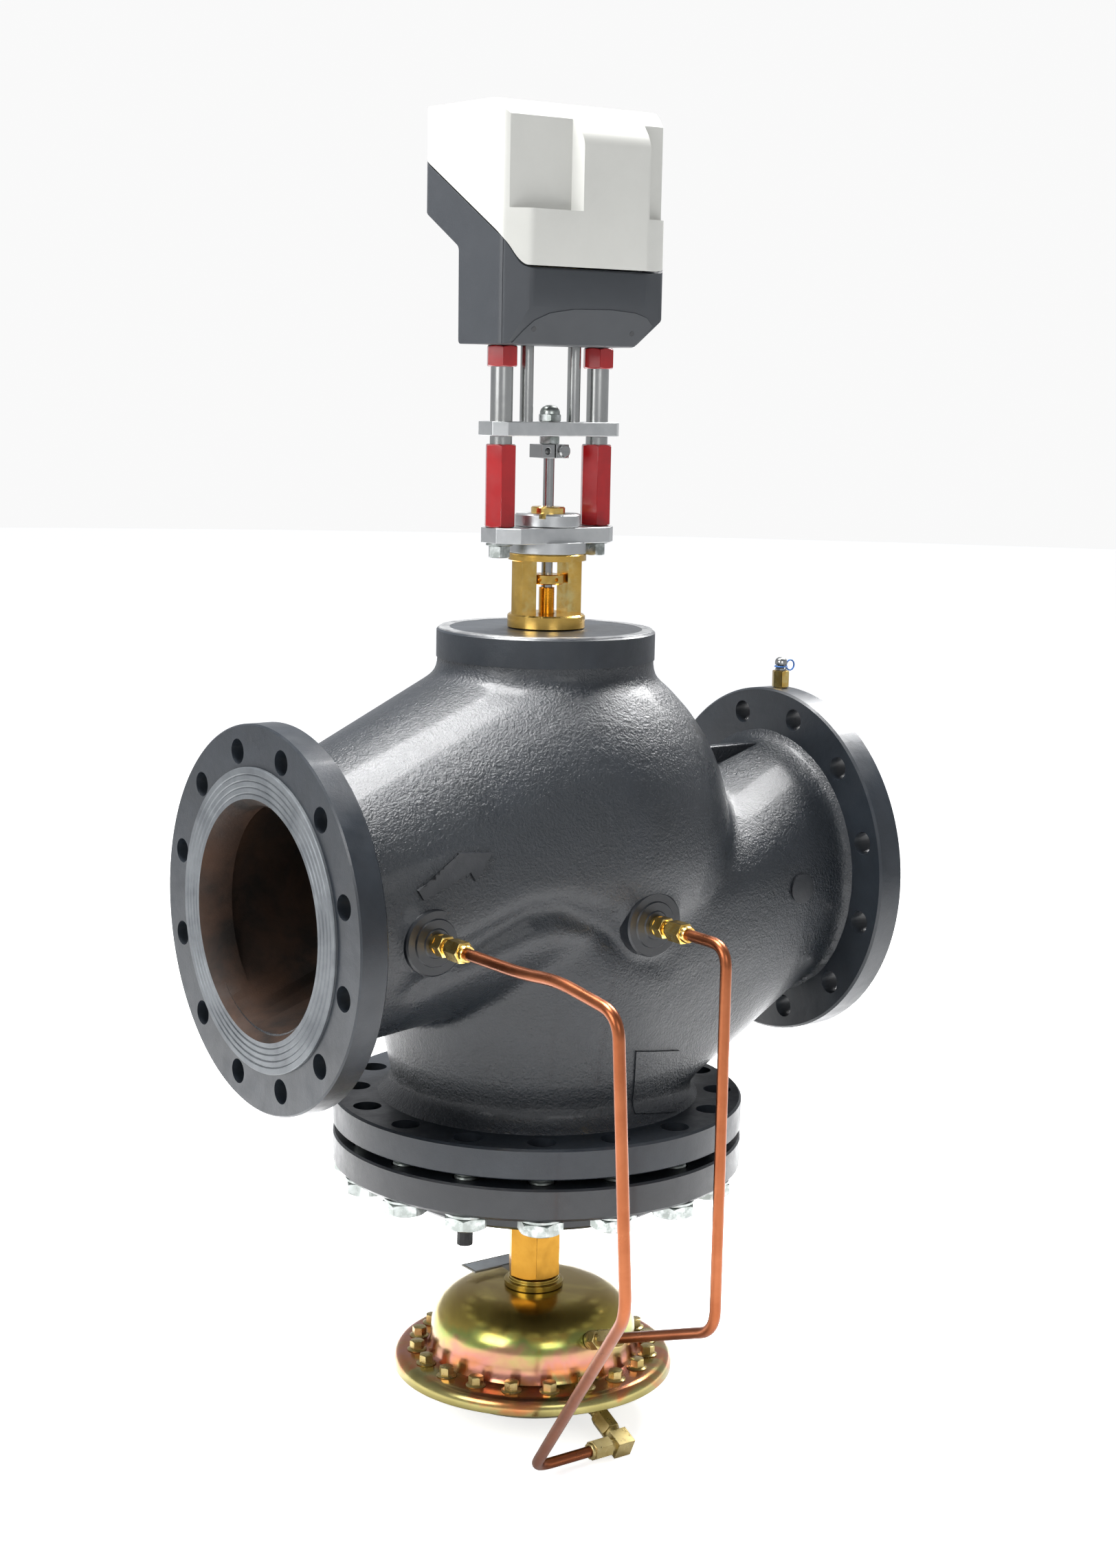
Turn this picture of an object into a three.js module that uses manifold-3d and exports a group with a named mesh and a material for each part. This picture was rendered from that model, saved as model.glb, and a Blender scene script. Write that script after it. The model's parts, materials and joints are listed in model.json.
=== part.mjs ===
// Pressure-independent zone valve, DN 200: a globe body with two pipe flanges, a motor actuator on a
// pillar yoke above it, and a diaphragm pressure controller with two copper impulse tubes below it.
// Millimetres. The origin is the centre of the inlet flange face, +X is the flow and +Z is up.
import * as THREE from "three";
import { mergeVertices } from "three/addons/utils/BufferGeometryUtils.js";
import { ConvexGeometry } from "three/addons/geometries/ConvexGeometry.js";
import Module from "manifold-3d";

const wasm = await Module();
wasm.setup();

// ---- Driving dimensions ----
const FACE_TO_FACE = 600;
const STEM_X = FACE_TO_FACE / 2;
const GAP = 0.3; // between pieces that touch

const PIPE = { flange: 170, thick: 30, face: 133, step: 3, bore: 100, neck: 123, circle: 147.5, hole: 11 };
const BOSS = { radius: 100, bottom: 185, top: 241 };
const COVER = {
  radius: 192, circle: 170, bolts: 16, bodyTop: -194, bodyBottom: -221.5, top: -230, bottom: -260,
  spigot: 150, spigotTop: -223.8, hub: 135, hubBottom: -288, bore: 16.4,
};
const WALL = { top: -15, bottom: -45, seat: 88 }; // the wall between the two chambers
const SEAT = { inner: 75, flange: 96, top: 5, bottom: -50 };
const STEM = { radius: 5, bottom: 28, top: 403, bore: 5.4 };
const RIB = { left: 440, right: 572, half: 6, bottom: -20, top: 118 }; // the web on the outlet neck
const PAD = 29; // the round pads that the impulse lines are tapped into
const PIPE_HOLES = 12;
const COVER_HOLE = 13;
const PLUG = { rim: 84, skirt: 74, skirtWall: 6, thick: 12 };
const GLAND = { radius: 15, thread: 7.5, bottom: 196, shoulder: 240, top: 279 };
const SETTING_NUT = { radius: 15.5, bottom: 281, top: 290, pin: 1.8 };
const DOWN_TRAVEL = 6; // from the stored position to the closed seat

const YOKE = { radius: 35.5, bottom: 241.3, window: 254, windowTop: 303, top: 309, flat: 8.6, slot: 17.5 };
const PLATE = { length: 130, width: 56, chamfer: 16, bottom: 319, top: 333 };
const GUIDE = { radius: 15.5, top: 351 };
const RING_NUT = { radius: 30, top: 345, slot: 3, slotDepth: 4 };
const CLAMP = { half: 15, depth: 10, bottom: 394.6, top: 407, stud: 6, screw: 9, height: 401 };
const PILLAR = { x: 53, radius: 10, top: 519.7 };
const ROD = { x: 26, radius: 6, bottom: 417.3, top: 560 };
const BAR = { length: 140, width: 42, chamfer: 10, bottom: 414.5, top: 427 };
const SLEEVE = { flats: 26, top: 407, collarBottom: 475, collarTop: 493.7 };

const ACTUATOR = { left: -88, right: 82, front: -61, back: 81, seam: -47, bottom: 494, top: 701, wall: 3 };
const SCREW = { radius: 7, journal: 5, bottom: 520.5, top: 621 };
const FRAME = { half: 70, sheet: 4, front: -40, back: 60, bottom: 520, top: 610 };
const DRIVE_NUT = { half: 36, depth: 12, bottom: 548, top: 563 };
const MOTOR = { radius: 20, shaft: 2, bottom: 623, top: 672 };
const GEARS = { big: 30.6, small: 8.6, tooth: 1.8, bottom: 612, top: 620 };

const CASE = { dome: 97, rim: 133, sheet: 2.5, top: -387.3, flange: -450, bottom: -464.6, bolts: 20, circle: 111 };
const CONE = { stem: 8, disc: -68.3, stemTop: -92, stemBottom: -456 };
const TUBE = { radius: 5, bend: 20 };
const LEFT_TAP = { x: -205, y: -141.5, z: -3 }; // from the stem axis
const RIGHT_TAP = { x: 0, y: -175.8, z: -4 };
const UPPER_PORT = { y: -94.6, z: -412.6, rise: 21 };
const LOWER_PORT = { y: -97.2, z: -475.6, fall: 25, reach: 48 };

const ROUND = { large: 32, medium: 20, small: 10, tiny: 8 };

// ---- Materials ----
const finish = (color, roughness, metalness) => new THREE.MeshStandardMaterial({ color, roughness, metalness });
const CAST_PAINT = finish(0x30363d, 0.4, 0.2);
const DARK_PAINT = finish(0x14171c, 0.45, 0.2);
const BRASS = finish(0xc79a3a, 0.25, 0.95);
const STEEL = finish(0xa9aaa8, 0.3, 0.95);
const ZINC = finish(0xc2c7c9, 0.35, 0.9);
const ALUMINIUM = finish(0xc9cccd, 0.4, 0.85);
const RED_PLASTIC = finish(0xb01a1f, 0.3, 0);
const GREY_PLASTIC = finish(0x4b4f54, 0.5, 0);
const WHITE_PLASTIC = finish(0xe4e4e0, 0.45, 0);
const CHROMATE = finish(0xb09a58, 0.25, 0.9);
const COPPER = finish(0xb56a45, 0.3, 0.95);
const RUBBER = finish(0x1b1b1b, 0.8, 0);
const BLUE_PLASTIC = finish(0x1f5fa8, 0.5, 0);
const BOARD = finish(0x23603a, 0.5, 0.1);

// ---- Joining and cutting ----
function toSolid(geometry) {
  const bare = geometry.index ? geometry.toNonIndexed() : geometry.clone();
  bare.deleteAttribute("normal");
  bare.deleteAttribute("uv");
  const merged = mergeVertices(bare, 1e-3);
  const corners = merged.index.array;
  const triangles = [];
  for (let i = 0; i < corners.length; i += 3) {
    const [a, b, c] = corners.slice(i, i + 3);
    if (a !== b && b !== c && c !== a) triangles.push(a, b, c);
  }
  const vertProperties = Float32Array.from(merged.attributes.position.array);
  const make = (triVerts) => new wasm.Manifold(new wasm.Mesh({ numProp: 3, vertProperties, triVerts }));
  const solid = make(Uint32Array.from(triangles));
  return solid.volume() > 0 ? solid : make(Uint32Array.from(triangles).reverse());
}

function toGeometry(solid) {
  const { vertProperties, triVerts } = solid.getMesh();
  const geometry = new THREE.BufferGeometry();
  geometry.setAttribute("position", new THREE.BufferAttribute(Float32Array.from(vertProperties), 3));
  geometry.setIndex(new THREE.BufferAttribute(Uint32Array.from(triVerts), 1));
  geometry.computeVertexNormals();
  return geometry;
}

const join = (first, ...more) => toGeometry(more.reduce((sum, next) => sum.add(toSolid(next)), toSolid(first)));
const cut = (body, ...tools) => toGeometry(tools.reduce((rest, tool) => rest.subtract(toSolid(tool)), toSolid(body)));
const common = (first, ...more) => toGeometry(more.reduce((all, next) => all.intersect(toSolid(next)), toSolid(first)));

// ---- Basic shapes, all upright along Z ----
function rod(radius, bottom, top, sides = ROUND.medium, x = 0, y = 0) {
  const shape = new THREE.CylinderGeometry(radius, radius, top - bottom, sides);
  return shape.rotateX(Math.PI / 2).translate(x, y, (top + bottom) / 2);
}

const hexagon = (flats, bottom, top, x = 0, y = 0) => rod(flats / Math.sqrt(3), bottom, top, 6, x, y);

function turned(profile, sides = ROUND.medium) {
  const points = profile.map(([radius, height]) => new THREE.Vector2(radius, height));
  if (profile[0][0] > 0) points.push(points[0].clone());
  return toGeometry(toSolid(new THREE.LatheGeometry(points, sides).rotateX(Math.PI / 2)));
}

const ring = (outer, inner, bottom, top, sides) =>
  turned([[inner, bottom], [outer, bottom], [outer, top], [inner, top]], sides);

function block(xRange, yRange, zRange) {
  const size = [xRange, yRange, zRange].map(([low, high]) => high - low);
  const middle = [xRange, yRange, zRange].map(([low, high]) => (high + low) / 2);
  return new THREE.BoxGeometry(...size).translate(...middle);
}

function slab(outline, bottom, top) {
  const shape = new THREE.Shape(outline.map(([x, y]) => new THREE.Vector2(x, y)));
  return new THREE.ExtrudeGeometry(shape, { depth: top - bottom, bevelEnabled: false }).translate(0, 0, bottom);
}

// An outline of [y, z] points, pushed from x = left to x = right.
function sideSlab(outline, left, right) {
  return slab(outline, left, right).rotateX(Math.PI / 2).rotateZ(Math.PI / 2);
}

function chamferedBar(length, width, chamfer, bottom, top) {
  const [x, y] = [length / 2, width / 2];
  const corner = [[x, y - chamfer], [x - chamfer, y]];
  const half = [...corner, ...corner.map(([a, b]) => [-a, b]).reverse()];
  return slab([...half, ...half.map(([a, b]) => [-a, -b])], bottom, top);
}

function around(count, radius, phase = 0) {
  return Array.from({ length: count }, (_, i) => {
    const angle = phase + (i * 2 * Math.PI) / count;
    return { x: radius * Math.cos(angle), y: radius * Math.sin(angle), angle };
  });
}

// A tube along straight runs with rounded corners.
function bentTube(points, radius, bend, steps) {
  const corners = points.map((p) => new THREE.Vector3(...p));
  const path = new THREE.CurvePath();
  let from = corners[0];
  for (let i = 1; i < corners.length - 1; i++) {
    const reach = (a, b) => a.clone().add(b.clone().sub(a).setLength(Math.min(bend, a.distanceTo(b) / 2)));
    const before = reach(corners[i], corners[i - 1]);
    const after = reach(corners[i], corners[i + 1]);
    path.add(new THREE.LineCurve3(from, before));
    path.add(new THREE.QuadraticBezierCurve3(before, corners[i], after));
    from = after;
  }
  path.add(new THREE.LineCurve3(from, corners.at(-1)));
  const section = new THREE.Shape().absarc(0, 0, radius, 0, 2 * Math.PI);
  return new THREE.ExtrudeGeometry(section, { steps, extrudePath: path, curveSegments: 4, bevelEnabled: false });
}

// ---- The scene ----
const valve = new THREE.Group();
const onStem = new THREE.Group();
onStem.position.x = STEM_X;
valve.add(onStem);

function piece(name, geometry, material, group = onStem, place = [0, 0, 0], tilt = 0) {
  const mesh = new THREE.Mesh(geometry, material);
  mesh.name = name;
  mesh.position.set(...place);
  mesh.rotation.x = tilt;
  group.add(mesh);
}

// ---- Valve body ----
// Rows of points on the round chambers: [height, radius] from the stem axis.
const bulge = (radius, middle, up, down) => (z) => {
  const share = (z - middle) / (z > middle ? up : down);
  return [z, radius * Math.sqrt(1 - share * share)];
};
const upperRows = [-60, -20, 45, 100, 150, 185, 212, 228].map(bulge(175, 45, 188, 130));
const upperHollow = [-15, 45, 110, 165, 200].map(bulge(159, 45, 165, 115));
const lowerRows = [[-185, 134], [-128, 147], [-90, 155], [-50, 159], [-20, 158]];
const lowerHollow = [[-180, 122], [-110, 135], [WALL.bottom, 141]];

// The hollow or solid neck that runs from a pipe opening to a round chamber.
function neck(openingX, openingRadius, rows, sides = 24) {
  const points = around(sides, openingRadius).map((p) => new THREE.Vector3(openingX, p.x, p.y));
  for (const [z, radius] of rows) {
    for (const p of around(sides, radius)) points.push(new THREE.Vector3(STEM_X + p.x, p.y, z));
  }
  return new ConvexGeometry(points);
}

function pipeFlange() {
  const outer = turned([[0, 0], [PIPE.face, 0], [PIPE.face, PIPE.step], [PIPE.flange, PIPE.step],
    [PIPE.flange, PIPE.thick], [0, PIPE.thick]], ROUND.large);
  const holes = around(PIPE_HOLES, PIPE.circle, Math.PI / PIPE_HOLES)
    .map((p) => rod(PIPE.hole, 1, 40, ROUND.tiny, p.x, p.y));
  return cut(outer, ...holes).rotateY(Math.PI / 2);
}

function valveBody() {
  const barrel = turned([[0, COVER.bodyBottom], [COVER.radius, COVER.bodyBottom], [COVER.radius, COVER.bodyTop],
    [150, COVER.bodyTop], [137, -180], [141, -150], [155, -90], [160, -50], [160, -10], [150, 40], [0, 40]],
  ROUND.large).translate(STEM_X, 0, 0);
  const rib = block([RIB.left, RIB.right], [-RIB.half, RIB.half], [RIB.bottom, RIB.top]);
  const leftPad = rod(PAD, 115, -LEFT_TAP.y - GAP, 16).rotateX(Math.PI / 2)
    .translate(STEM_X + LEFT_TAP.x, 0, LEFT_TAP.z);
  const rightPad = rod(PAD, 150, -RIGHT_TAP.y - GAP, 16).rotateX(Math.PI / 2)
    .translate(STEM_X, 0, RIGHT_TAP.z);
  const outside = join(
    pipeFlange(), pipeFlange().rotateZ(Math.PI).translate(FACE_TO_FACE, 0, 0),
    neck(PIPE.thick - 2, PIPE.neck, upperRows), neck(FACE_TO_FACE - PIPE.thick + 2, PIPE.neck, lowerRows),
    barrel, rod(BOSS.radius, BOSS.bottom, BOSS.top, ROUND.large, STEM_X), rib, leftPad, rightPad,
  );
  const boltHoles = around(COVER.bolts, COVER.circle, Math.PI / COVER.bolts)
    .map((p) => rod(COVER_HOLE, -230, -193, ROUND.tiny, STEM_X + p.x, p.y));
  return cut(
    outside, neck(-1, PIPE.bore, upperHollow, 20), neck(FACE_TO_FACE + 1, PIPE.bore, lowerHollow, 20),
    rod(122, -230, -179, ROUND.medium, STEM_X), rod(WALL.seat + GAP, -60, 0, ROUND.medium, STEM_X),
    rod(15 + GAP, 190, 250, 16, STEM_X), rod(5 + GAP, 155, 180, 10, FACE_TO_FACE - PIPE.thick / 2), ...boltHoles,
  );
}
piece("valve_body", valveBody(), CAST_PAINT, valve);

// ---- Seat, control plug and stem ----
piece("seat_ring", turned([[SEAT.inner, SEAT.bottom], [WALL.seat, SEAT.bottom], [WALL.seat, WALL.top + GAP],
  [SEAT.flange, WALL.top + GAP], [SEAT.flange, SEAT.top], [SEAT.inner, SEAT.top]]), STEEL);

// A disc that closes on the seat from one side, with a guiding skirt and a hub for its stem.
function skirtedPlug(disc, skirt, hubEnd, hubRadius, bore, boreFrom) {
  const away = Math.sign(disc - skirt);
  const back = disc + away * PLUG.thick;
  const recess = back - away * 4;
  const inside = PLUG.skirt - PLUG.skirtWall;
  return turned([[0, recess], [inside, recess], [inside, skirt], [PLUG.skirt, skirt], [PLUG.skirt, disc],
    [PLUG.rim, disc], [PLUG.rim, back], [hubRadius, back], [hubRadius, hubEnd], [bore, hubEnd],
    [bore, boreFrom], [0, boreFrom]]);
}
const plugDisc = SEAT.top + DOWN_TRAVEL + GAP;
const skirtPorts = [0, Math.PI / 2].map((turn) => block([-90, 90], [-16, 16], [-25, plugDisc - 4]).rotateZ(turn));
piece("control_plug", cut(skirtedPlug(plugDisc, -20, 52, 14, STEM.radius + GAP, STEM.bottom - GAP),
  ...skirtPorts), STEEL);
piece("valve_stem", rod(STEM.radius, STEM.bottom, STEM.top, ROUND.small), STEEL);

const stemBore = rod(STEM.bore, 150, 420, ROUND.small);
piece("stem_gland", cut(join(rod(GLAND.radius, GLAND.bottom, GLAND.shoulder + 0.9, ROUND.small),
  rod(GLAND.thread, GLAND.shoulder, GLAND.top, ROUND.small)), stemBore), BRASS);
const nutHoles = [0, 1, 2].map((i) => rod(SETTING_NUT.pin, -20, 20, 8).rotateX(Math.PI / 2).rotateZ((i * Math.PI) / 3)
  .translate(0, 0, (SETTING_NUT.bottom + SETTING_NUT.top) / 2));
piece("setting_nut", cut(rod(SETTING_NUT.radius, SETTING_NUT.bottom, SETTING_NUT.top, 24), stemBore,
  ...nutHoles), BRASS);

// ---- Yoke between the body and the actuator ----
function yoke() {
  const waist = common(rod(YOKE.radius, YOKE.window - 1, YOKE.windowTop + 1, ROUND.large),
    block([-40, 40], [-YOKE.flat, YOKE.flat], [200, 350]));
  const solid = join(rod(YOKE.radius, YOKE.bottom, YOKE.window, ROUND.large),
    rod(YOKE.radius, YOKE.windowTop, YOKE.top, ROUND.large), waist);
  return cut(solid, block([-YOKE.slot, YOKE.slot], [-40, 40], [YOKE.window, YOKE.windowTop]),
    rod(7.9, 230, 260, ROUND.small), rod(8, 295, 320, ROUND.small));
}
piece("yoke", yoke(), BRASS);

const collarBore = rod(GUIDE.radius + GAP, 300, 360, 24);
const plateBoltHoles = [-1, 1].map((side) => rod(6.2, 300, 340, ROUND.small, side * PILLAR.x));
piece("yoke_plate", cut(join(chamferedBar(PLATE.length, PLATE.width, PLATE.chamfer, PLATE.bottom, PLATE.top),
  rod(35, YOKE.top + GAP, PLATE.bottom + 1, ROUND.medium)), collarBore, ...plateBoltHoles), ALUMINIUM);
const nutSlots = [0, Math.PI / 2].map((turn) => block([-40, 40], [-RING_NUT.slot, RING_NUT.slot],
  [RING_NUT.top - RING_NUT.slotDepth, 350]).rotateZ(turn + Math.PI / 4));
piece("ring_nut", cut(rod(RING_NUT.radius, PLATE.top + GAP, RING_NUT.top, ROUND.medium), collarBore,
  ...nutSlots), ALUMINIUM);
piece("guide_collar", ring(GUIDE.radius, STEM.bore, YOKE.top + GAP, GUIDE.top, 24), BRASS);

// ---- Pillars, sleeves and their bolts ----
for (const [side, name] of [[-1, "left"], [1, "right"]]) {
  const x = side * PILLAR.x;
  const bore = rod(PILLAR.radius + GAP, 320, 500, 20, x);
  piece("pillar_" + name, cut(rod(PILLAR.radius, PLATE.top + GAP, PILLAR.top, 20, x),
    rod(6.2, 330, 352, ROUND.small, x)), STEEL);
  piece("sleeve_" + name, cut(hexagon(SLEEVE.flats, PLATE.top + GAP, SLEEVE.top, x), bore), RED_PLASTIC);
  piece("collar_" + name, cut(hexagon(SLEEVE.flats, SLEEVE.collarBottom, SLEEVE.collarTop, x), bore), RED_PLASTIC);
  piece("plate_bolt_" + name, join(hexagon(18, 306, 317, x), rod(12, 316.8, PLATE.bottom - GAP, ROUND.small, x),
    rod(5.9, 317, 350, ROUND.small, x)), ZINC);
  piece("rod_" + name, rod(ROD.radius, ROD.bottom, ROD.top, ROUND.small, side * ROD.x), STEEL);
}

// ---- Traverse: crossbar, its nuts and the stem coupling ----
const barHoles = [-1, 1].flatMap((side) => [rod(PILLAR.radius + 0.5, 400, 440, 20, side * PILLAR.x),
  rod(ROD.radius + GAP, ROD.bottom - GAP, 440, ROUND.small, side * ROD.x)]);
piece("crossbar", cut(chamferedBar(BAR.length, BAR.width, BAR.chamfer, BAR.bottom, BAR.top),
  rod(6.4, 400, 440, ROUND.small), ...barHoles), ALUMINIUM);
piece("dome_nut", cut(join(hexagon(19, BAR.top + GAP, 434), turned([[0, 433], [9, 433], [9, 436], [7, 439.5],
  [3.5, 441.5], [0, 442]], ROUND.small)), rod(CLAMP.stud + GAP, 420, 437, ROUND.small)), ZINC);
piece("lock_nut", cut(hexagon(17, CLAMP.top + GAP, BAR.bottom - GAP),
  rod(CLAMP.stud + GAP, 400, 420, ROUND.small)), ZINC);
const clampBlock = join(block([-CLAMP.half, CLAMP.half], [-CLAMP.depth, CLAMP.depth], [CLAMP.bottom, CLAMP.top]),
  rod(CLAMP.stud, CLAMP.top - 1, 436, ROUND.small));
const clampHoles = [[3, -8.5], [4.3, CLAMP.screw]].map(([radius, x]) =>
  rod(radius, -20, 20, 12, x).rotateX(Math.PI / 2).translate(0, 0, CLAMP.height));
piece("coupling_clamp", cut(clampBlock, rod(STEM.radius + GAP, 390, STEM.top + GAP, ROUND.small),
  ...clampHoles), STEEL);
const clampScrew = cut(join(rod(4, -9, 10.5, 12), rod(6, 10 + GAP, 13, 20)), block([-8, 8], [-0.8, 0.8], [12, 14]));
piece("coupling_screw", clampScrew, STEEL, onStem, [CLAMP.screw, 0, CLAMP.height], Math.PI / 2);

// ---- Actuator housing ----
// The grey base and the white cover meet along a line that climbs from front to back.
const partingLine = [[-62, 558], [-56, 561], [ACTUATOR.seam, 584], [82, 658]];
const lowerSide = [[-50, 494], [18, 494], [19, 578], [ACTUATOR.back, 614],
  ...partingLine.slice().reverse(), [-62, 530]];
const upperSide = [...partingLine.map(([y, z]) => [y, z + GAP]), [ACTUATOR.back, ACTUATOR.top], [-40, ACTUATOR.top],
  [ACTUATOR.front, 672]];
const planOutline = (inset) => {
  const { left, right, front, back } = ACTUATOR;
  return [[left + inset, -46 + inset], [-66, front + inset], [61, front + inset], [right - inset, -57 + inset],
    [right - inset, back - 8], [right - 8, back - inset], [left + 8, back - inset], [left + inset, back - 8]];
};
const plan = slab(planOutline(0), 480, 720);
const planInside = slab(planOutline(ACTUATOR.wall), 480, 720);
const rightChamfer = slab([[55, -30], [90, -30], [90, 1], [86, 1]], -90, 90)
  .rotateX(Math.PI / 2).translate(0, 0, 524);

function baseShell() {
  const outside = cut(common(sideSlab(lowerSide, -90, 90), plan), rightChamfer);
  const room = [[-45, 497], [15, 497], [16, 580], [78, 616], [78, 670], [-59, 600], [-59, 534]];
  const inside = cut(common(sideSlab(room, -90, 90), planInside), rightChamfer.clone().translate(-3, 0, 3));
  const holes = [-1, 1].flatMap((side) => [rod(PILLAR.radius + GAP, 480, 510, 20, side * PILLAR.x),
    rod(ROD.radius + 1, 480, 510, ROUND.small, side * ROD.x)]);
  return cut(outside, inside, ...holes);
}
const base = baseShell();
const halfSpace = (from, to) => block([-200, 200], [from, to], [400, 800]);
const frontShell = common(base, halfSpace(-100, ACTUATOR.seam - GAP / 2));
piece("actuator_front_shell", frontShell, GREY_PLASTIC);
piece("actuator_rear_shell", common(base, halfSpace(ACTUATOR.seam + GAP / 2, 200)), GREY_PLASTIC);

function coverShell() {
  const leftNotch = slab([[-11, -62], [-17, -50], [-100, -50], [-100, -62]], 609, 720);
  const rightNotch = slab([[61, -62], [61, -50], [100, -50], [100, -62]], 606, 720);
  const outside = cut(common(sideSlab(upperSide, -90, 90), plan), leftNotch, rightNotch);
  const room = [[-47, 570], [79, 640], [78, 698], [-40, 698], [-47, 690]];
  const frontRoom = block([-60, 58], [-58, -46], [540, 604]);
  return cut(outside, common(sideSlab(room, -90, 90), planInside), frontRoom);
}
piece("actuator_cover", coverShell(), WHITE_PLASTIC);

// ---- Drive inside the actuator ----
const frameHoles = [-1, 1].map((side) => rod(ROD.radius + 1, 500, 540, ROUND.small, side * ROD.x));
const { half, sheet: frameSheet, front, back } = FRAME;
const gearFrame = join(block([-half, half], [front, 12], [FRAME.bottom, FRAME.bottom + frameSheet]),
  block([-half, half], [front, back], [FRAME.top - frameSheet, FRAME.top]),
  block([-half, frameSheet - half], [front, 12], [FRAME.bottom + 2, FRAME.top - 2]),
  block([half - frameSheet, half], [front, 12], [FRAME.bottom + 2, FRAME.top - 2]));
piece("gear_frame", cut(gearFrame, ...frameHoles, rod(SCREW.journal + GAP, 510, 530, ROUND.small),
  rod(SCREW.radius + 0.5, 600, 615, ROUND.small), rod(5, 600, 615, 12, 0, 39.4)), ZINC);
piece("lead_screw", join(rod(SCREW.journal, SCREW.bottom, 525, ROUND.small),
  rod(SCREW.radius, 524 + GAP, SCREW.top, ROUND.small)), STEEL);
const nutBores = [-1, 1].map((side) => rod(ROD.radius + GAP, 540, ROD.top + GAP, ROUND.small, side * ROD.x));
piece("drive_nut", cut(block([-DRIVE_NUT.half, DRIVE_NUT.half], [-DRIVE_NUT.depth, DRIVE_NUT.depth],
  [DRIVE_NUT.bottom, DRIVE_NUT.top]), rod(SCREW.radius + 0.5, 540, 570, ROUND.small),
  ...nutBores), BRASS);

function gear(outer, teeth, bore) {
  const points = around(teeth * 4, 1).map(({ angle }, i) => {
    const radius = i % 4 < 2 ? outer : outer - GEARS.tooth;
    return [radius * Math.cos(angle), radius * Math.sin(angle)];
  });
  return cut(slab(points, GEARS.bottom, GEARS.top), rod(bore, 600, 630, ROUND.small));
}
const pinionY = GEARS.big + GEARS.small + 0.2;
piece("drive_gear", gear(GEARS.big, 20, SCREW.radius + GAP), WHITE_PLASTIC);
piece("motor_pinion", gear(GEARS.small, 6, MOTOR.shaft + GAP), BRASS, onStem, [0, pinionY, 0]);
piece("motor", join(rod(MOTOR.radius, MOTOR.bottom, MOTOR.top, 24),
  rod(MOTOR.shaft, 613, MOTOR.bottom + 1, 12)), ZINC, onStem, [0, pinionY, 0]);
piece("circuit_board", block([68, 69.6], [-40, 60], [625, 685]), BOARD);

// ---- Bottom cover ----
const coverHoles = around(COVER.bolts, COVER.circle, Math.PI / COVER.bolts)
  .map((p) => rod(COVER_HOLE, -270, -225, ROUND.tiny, p.x, p.y));
piece("bottom_cover", cut(turned([[COVER.bore, COVER.hubBottom], [COVER.hub, COVER.hubBottom],
  [COVER.hub, COVER.bottom], [COVER.radius, COVER.bottom], [COVER.radius, COVER.top], [COVER.spigot, COVER.top],
  [COVER.spigot, COVER.spigotTop], [COVER.bore, COVER.spigotTop]], ROUND.large), ...coverHoles), DARK_PAINT);
piece("cover_gasket", ring(COVER.spigot, 124, COVER.spigotTop + GAP, COVER.bodyBottom - GAP, ROUND.large), RUBBER);
// Sixteen bolts, held in one piece by a thin ring that is hidden under their heads.
const coverBolts = around(COVER.bolts, COVER.circle, Math.PI / COVER.bolts).flatMap((p) => [
  hexagon(36, COVER.bottom - 15.5, COVER.bottom - 0.5, p.x, p.y),
  rod(11.5, COVER.bottom - 1, -205, 6, p.x, p.y)]);
piece("cover_bolts", join(ring(173, 167, COVER.bottom - 0.8, COVER.bottom - GAP, COVER.bolts), ...coverBolts), ZINC);
piece("drain_plug", rod(7.5, -312, COVER.hubBottom - GAP, ROUND.small), RUBBER, onStem, [-111, -47, 0]);
piece("guide_bush", ring(16, CONE.stem + GAP, -250, COVER.spigotTop, 24), BRASS);

// ---- Pressure controller: cone, stem and diaphragm ----
piece("pressure_cone", skirtedPlug(CONE.disc, -46, -104, 16, CONE.stem + GAP, CONE.stemTop), STEEL);
piece("pressure_stem", rod(CONE.stem, CONE.stemBottom, CONE.stemTop - GAP, ROUND.small), STEEL);
const lowBore = rod(CONE.stem + GAP, -460, -240, ROUND.small);
piece("case_union", cut(join(rod(16, -289, -251, 24), rod(20, -301, COVER.hubBottom - GAP, 24),
  hexagon(46, -377, -300)), lowBore), BRASS);
piece("case_gland", cut(turned([[0, -387], [28, -387], [28, -382], [24, -381], [24, -377.3], [0, -377.3]], 24),
  lowBore), CHROMATE);

const sheet = CASE.sheet;
piece("upper_case", turned([
  [CONE.stem + 1, CASE.top - sheet], [58, -391.5], [76, -398], [89, -410], [94.5, -424], [95.5, -449],
  [98, CASE.flange - sheet], [127, CASE.flange - sheet], [130.5, -456], [130.5, CASE.bottom], [CASE.rim, CASE.bottom],
  [CASE.rim, -455], [129, CASE.flange + 0.5], [103.5, CASE.flange + 0.5], [98, -446], [CASE.dome, -423], [91.5, -408.5],
  [78, -395.5], [60, -389], [CONE.stem + 1, CASE.top]], 28), CHROMATE);
piece("lower_case", turned([
  [0, -489.5], [60, -489.5], [77, -487], [91, -478.5], [95.5, -468], [95.5, -457.5], [99, -455], [128.5, -455],
  [128.5, -457.5], [101, -457.5], [98, -460], [98, -469], [93.5, -480.5], [79, -489.5], [60, -492], [0, -492]], 28),
  CHROMATE);
const clamped = CASE.flange - sheet - GAP; // the top of the diaphragm where the two cases grip it
piece("diaphragm", turned([[12, -451.9], [87, -452], [97, clamped - 1.9], [126.5, clamped - 1.9], [126.5, clamped],
  [98, clamped], [90, -450], [12, -450]], 28), RUBBER);
piece("diaphragm_plate", turned([[CONE.stem + GAP, -449.7], [75, -449.7], [78, -447], [74, -446], [20, -446],
  [18, -438], [CONE.stem + GAP, -438]]), ZINC);

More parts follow.
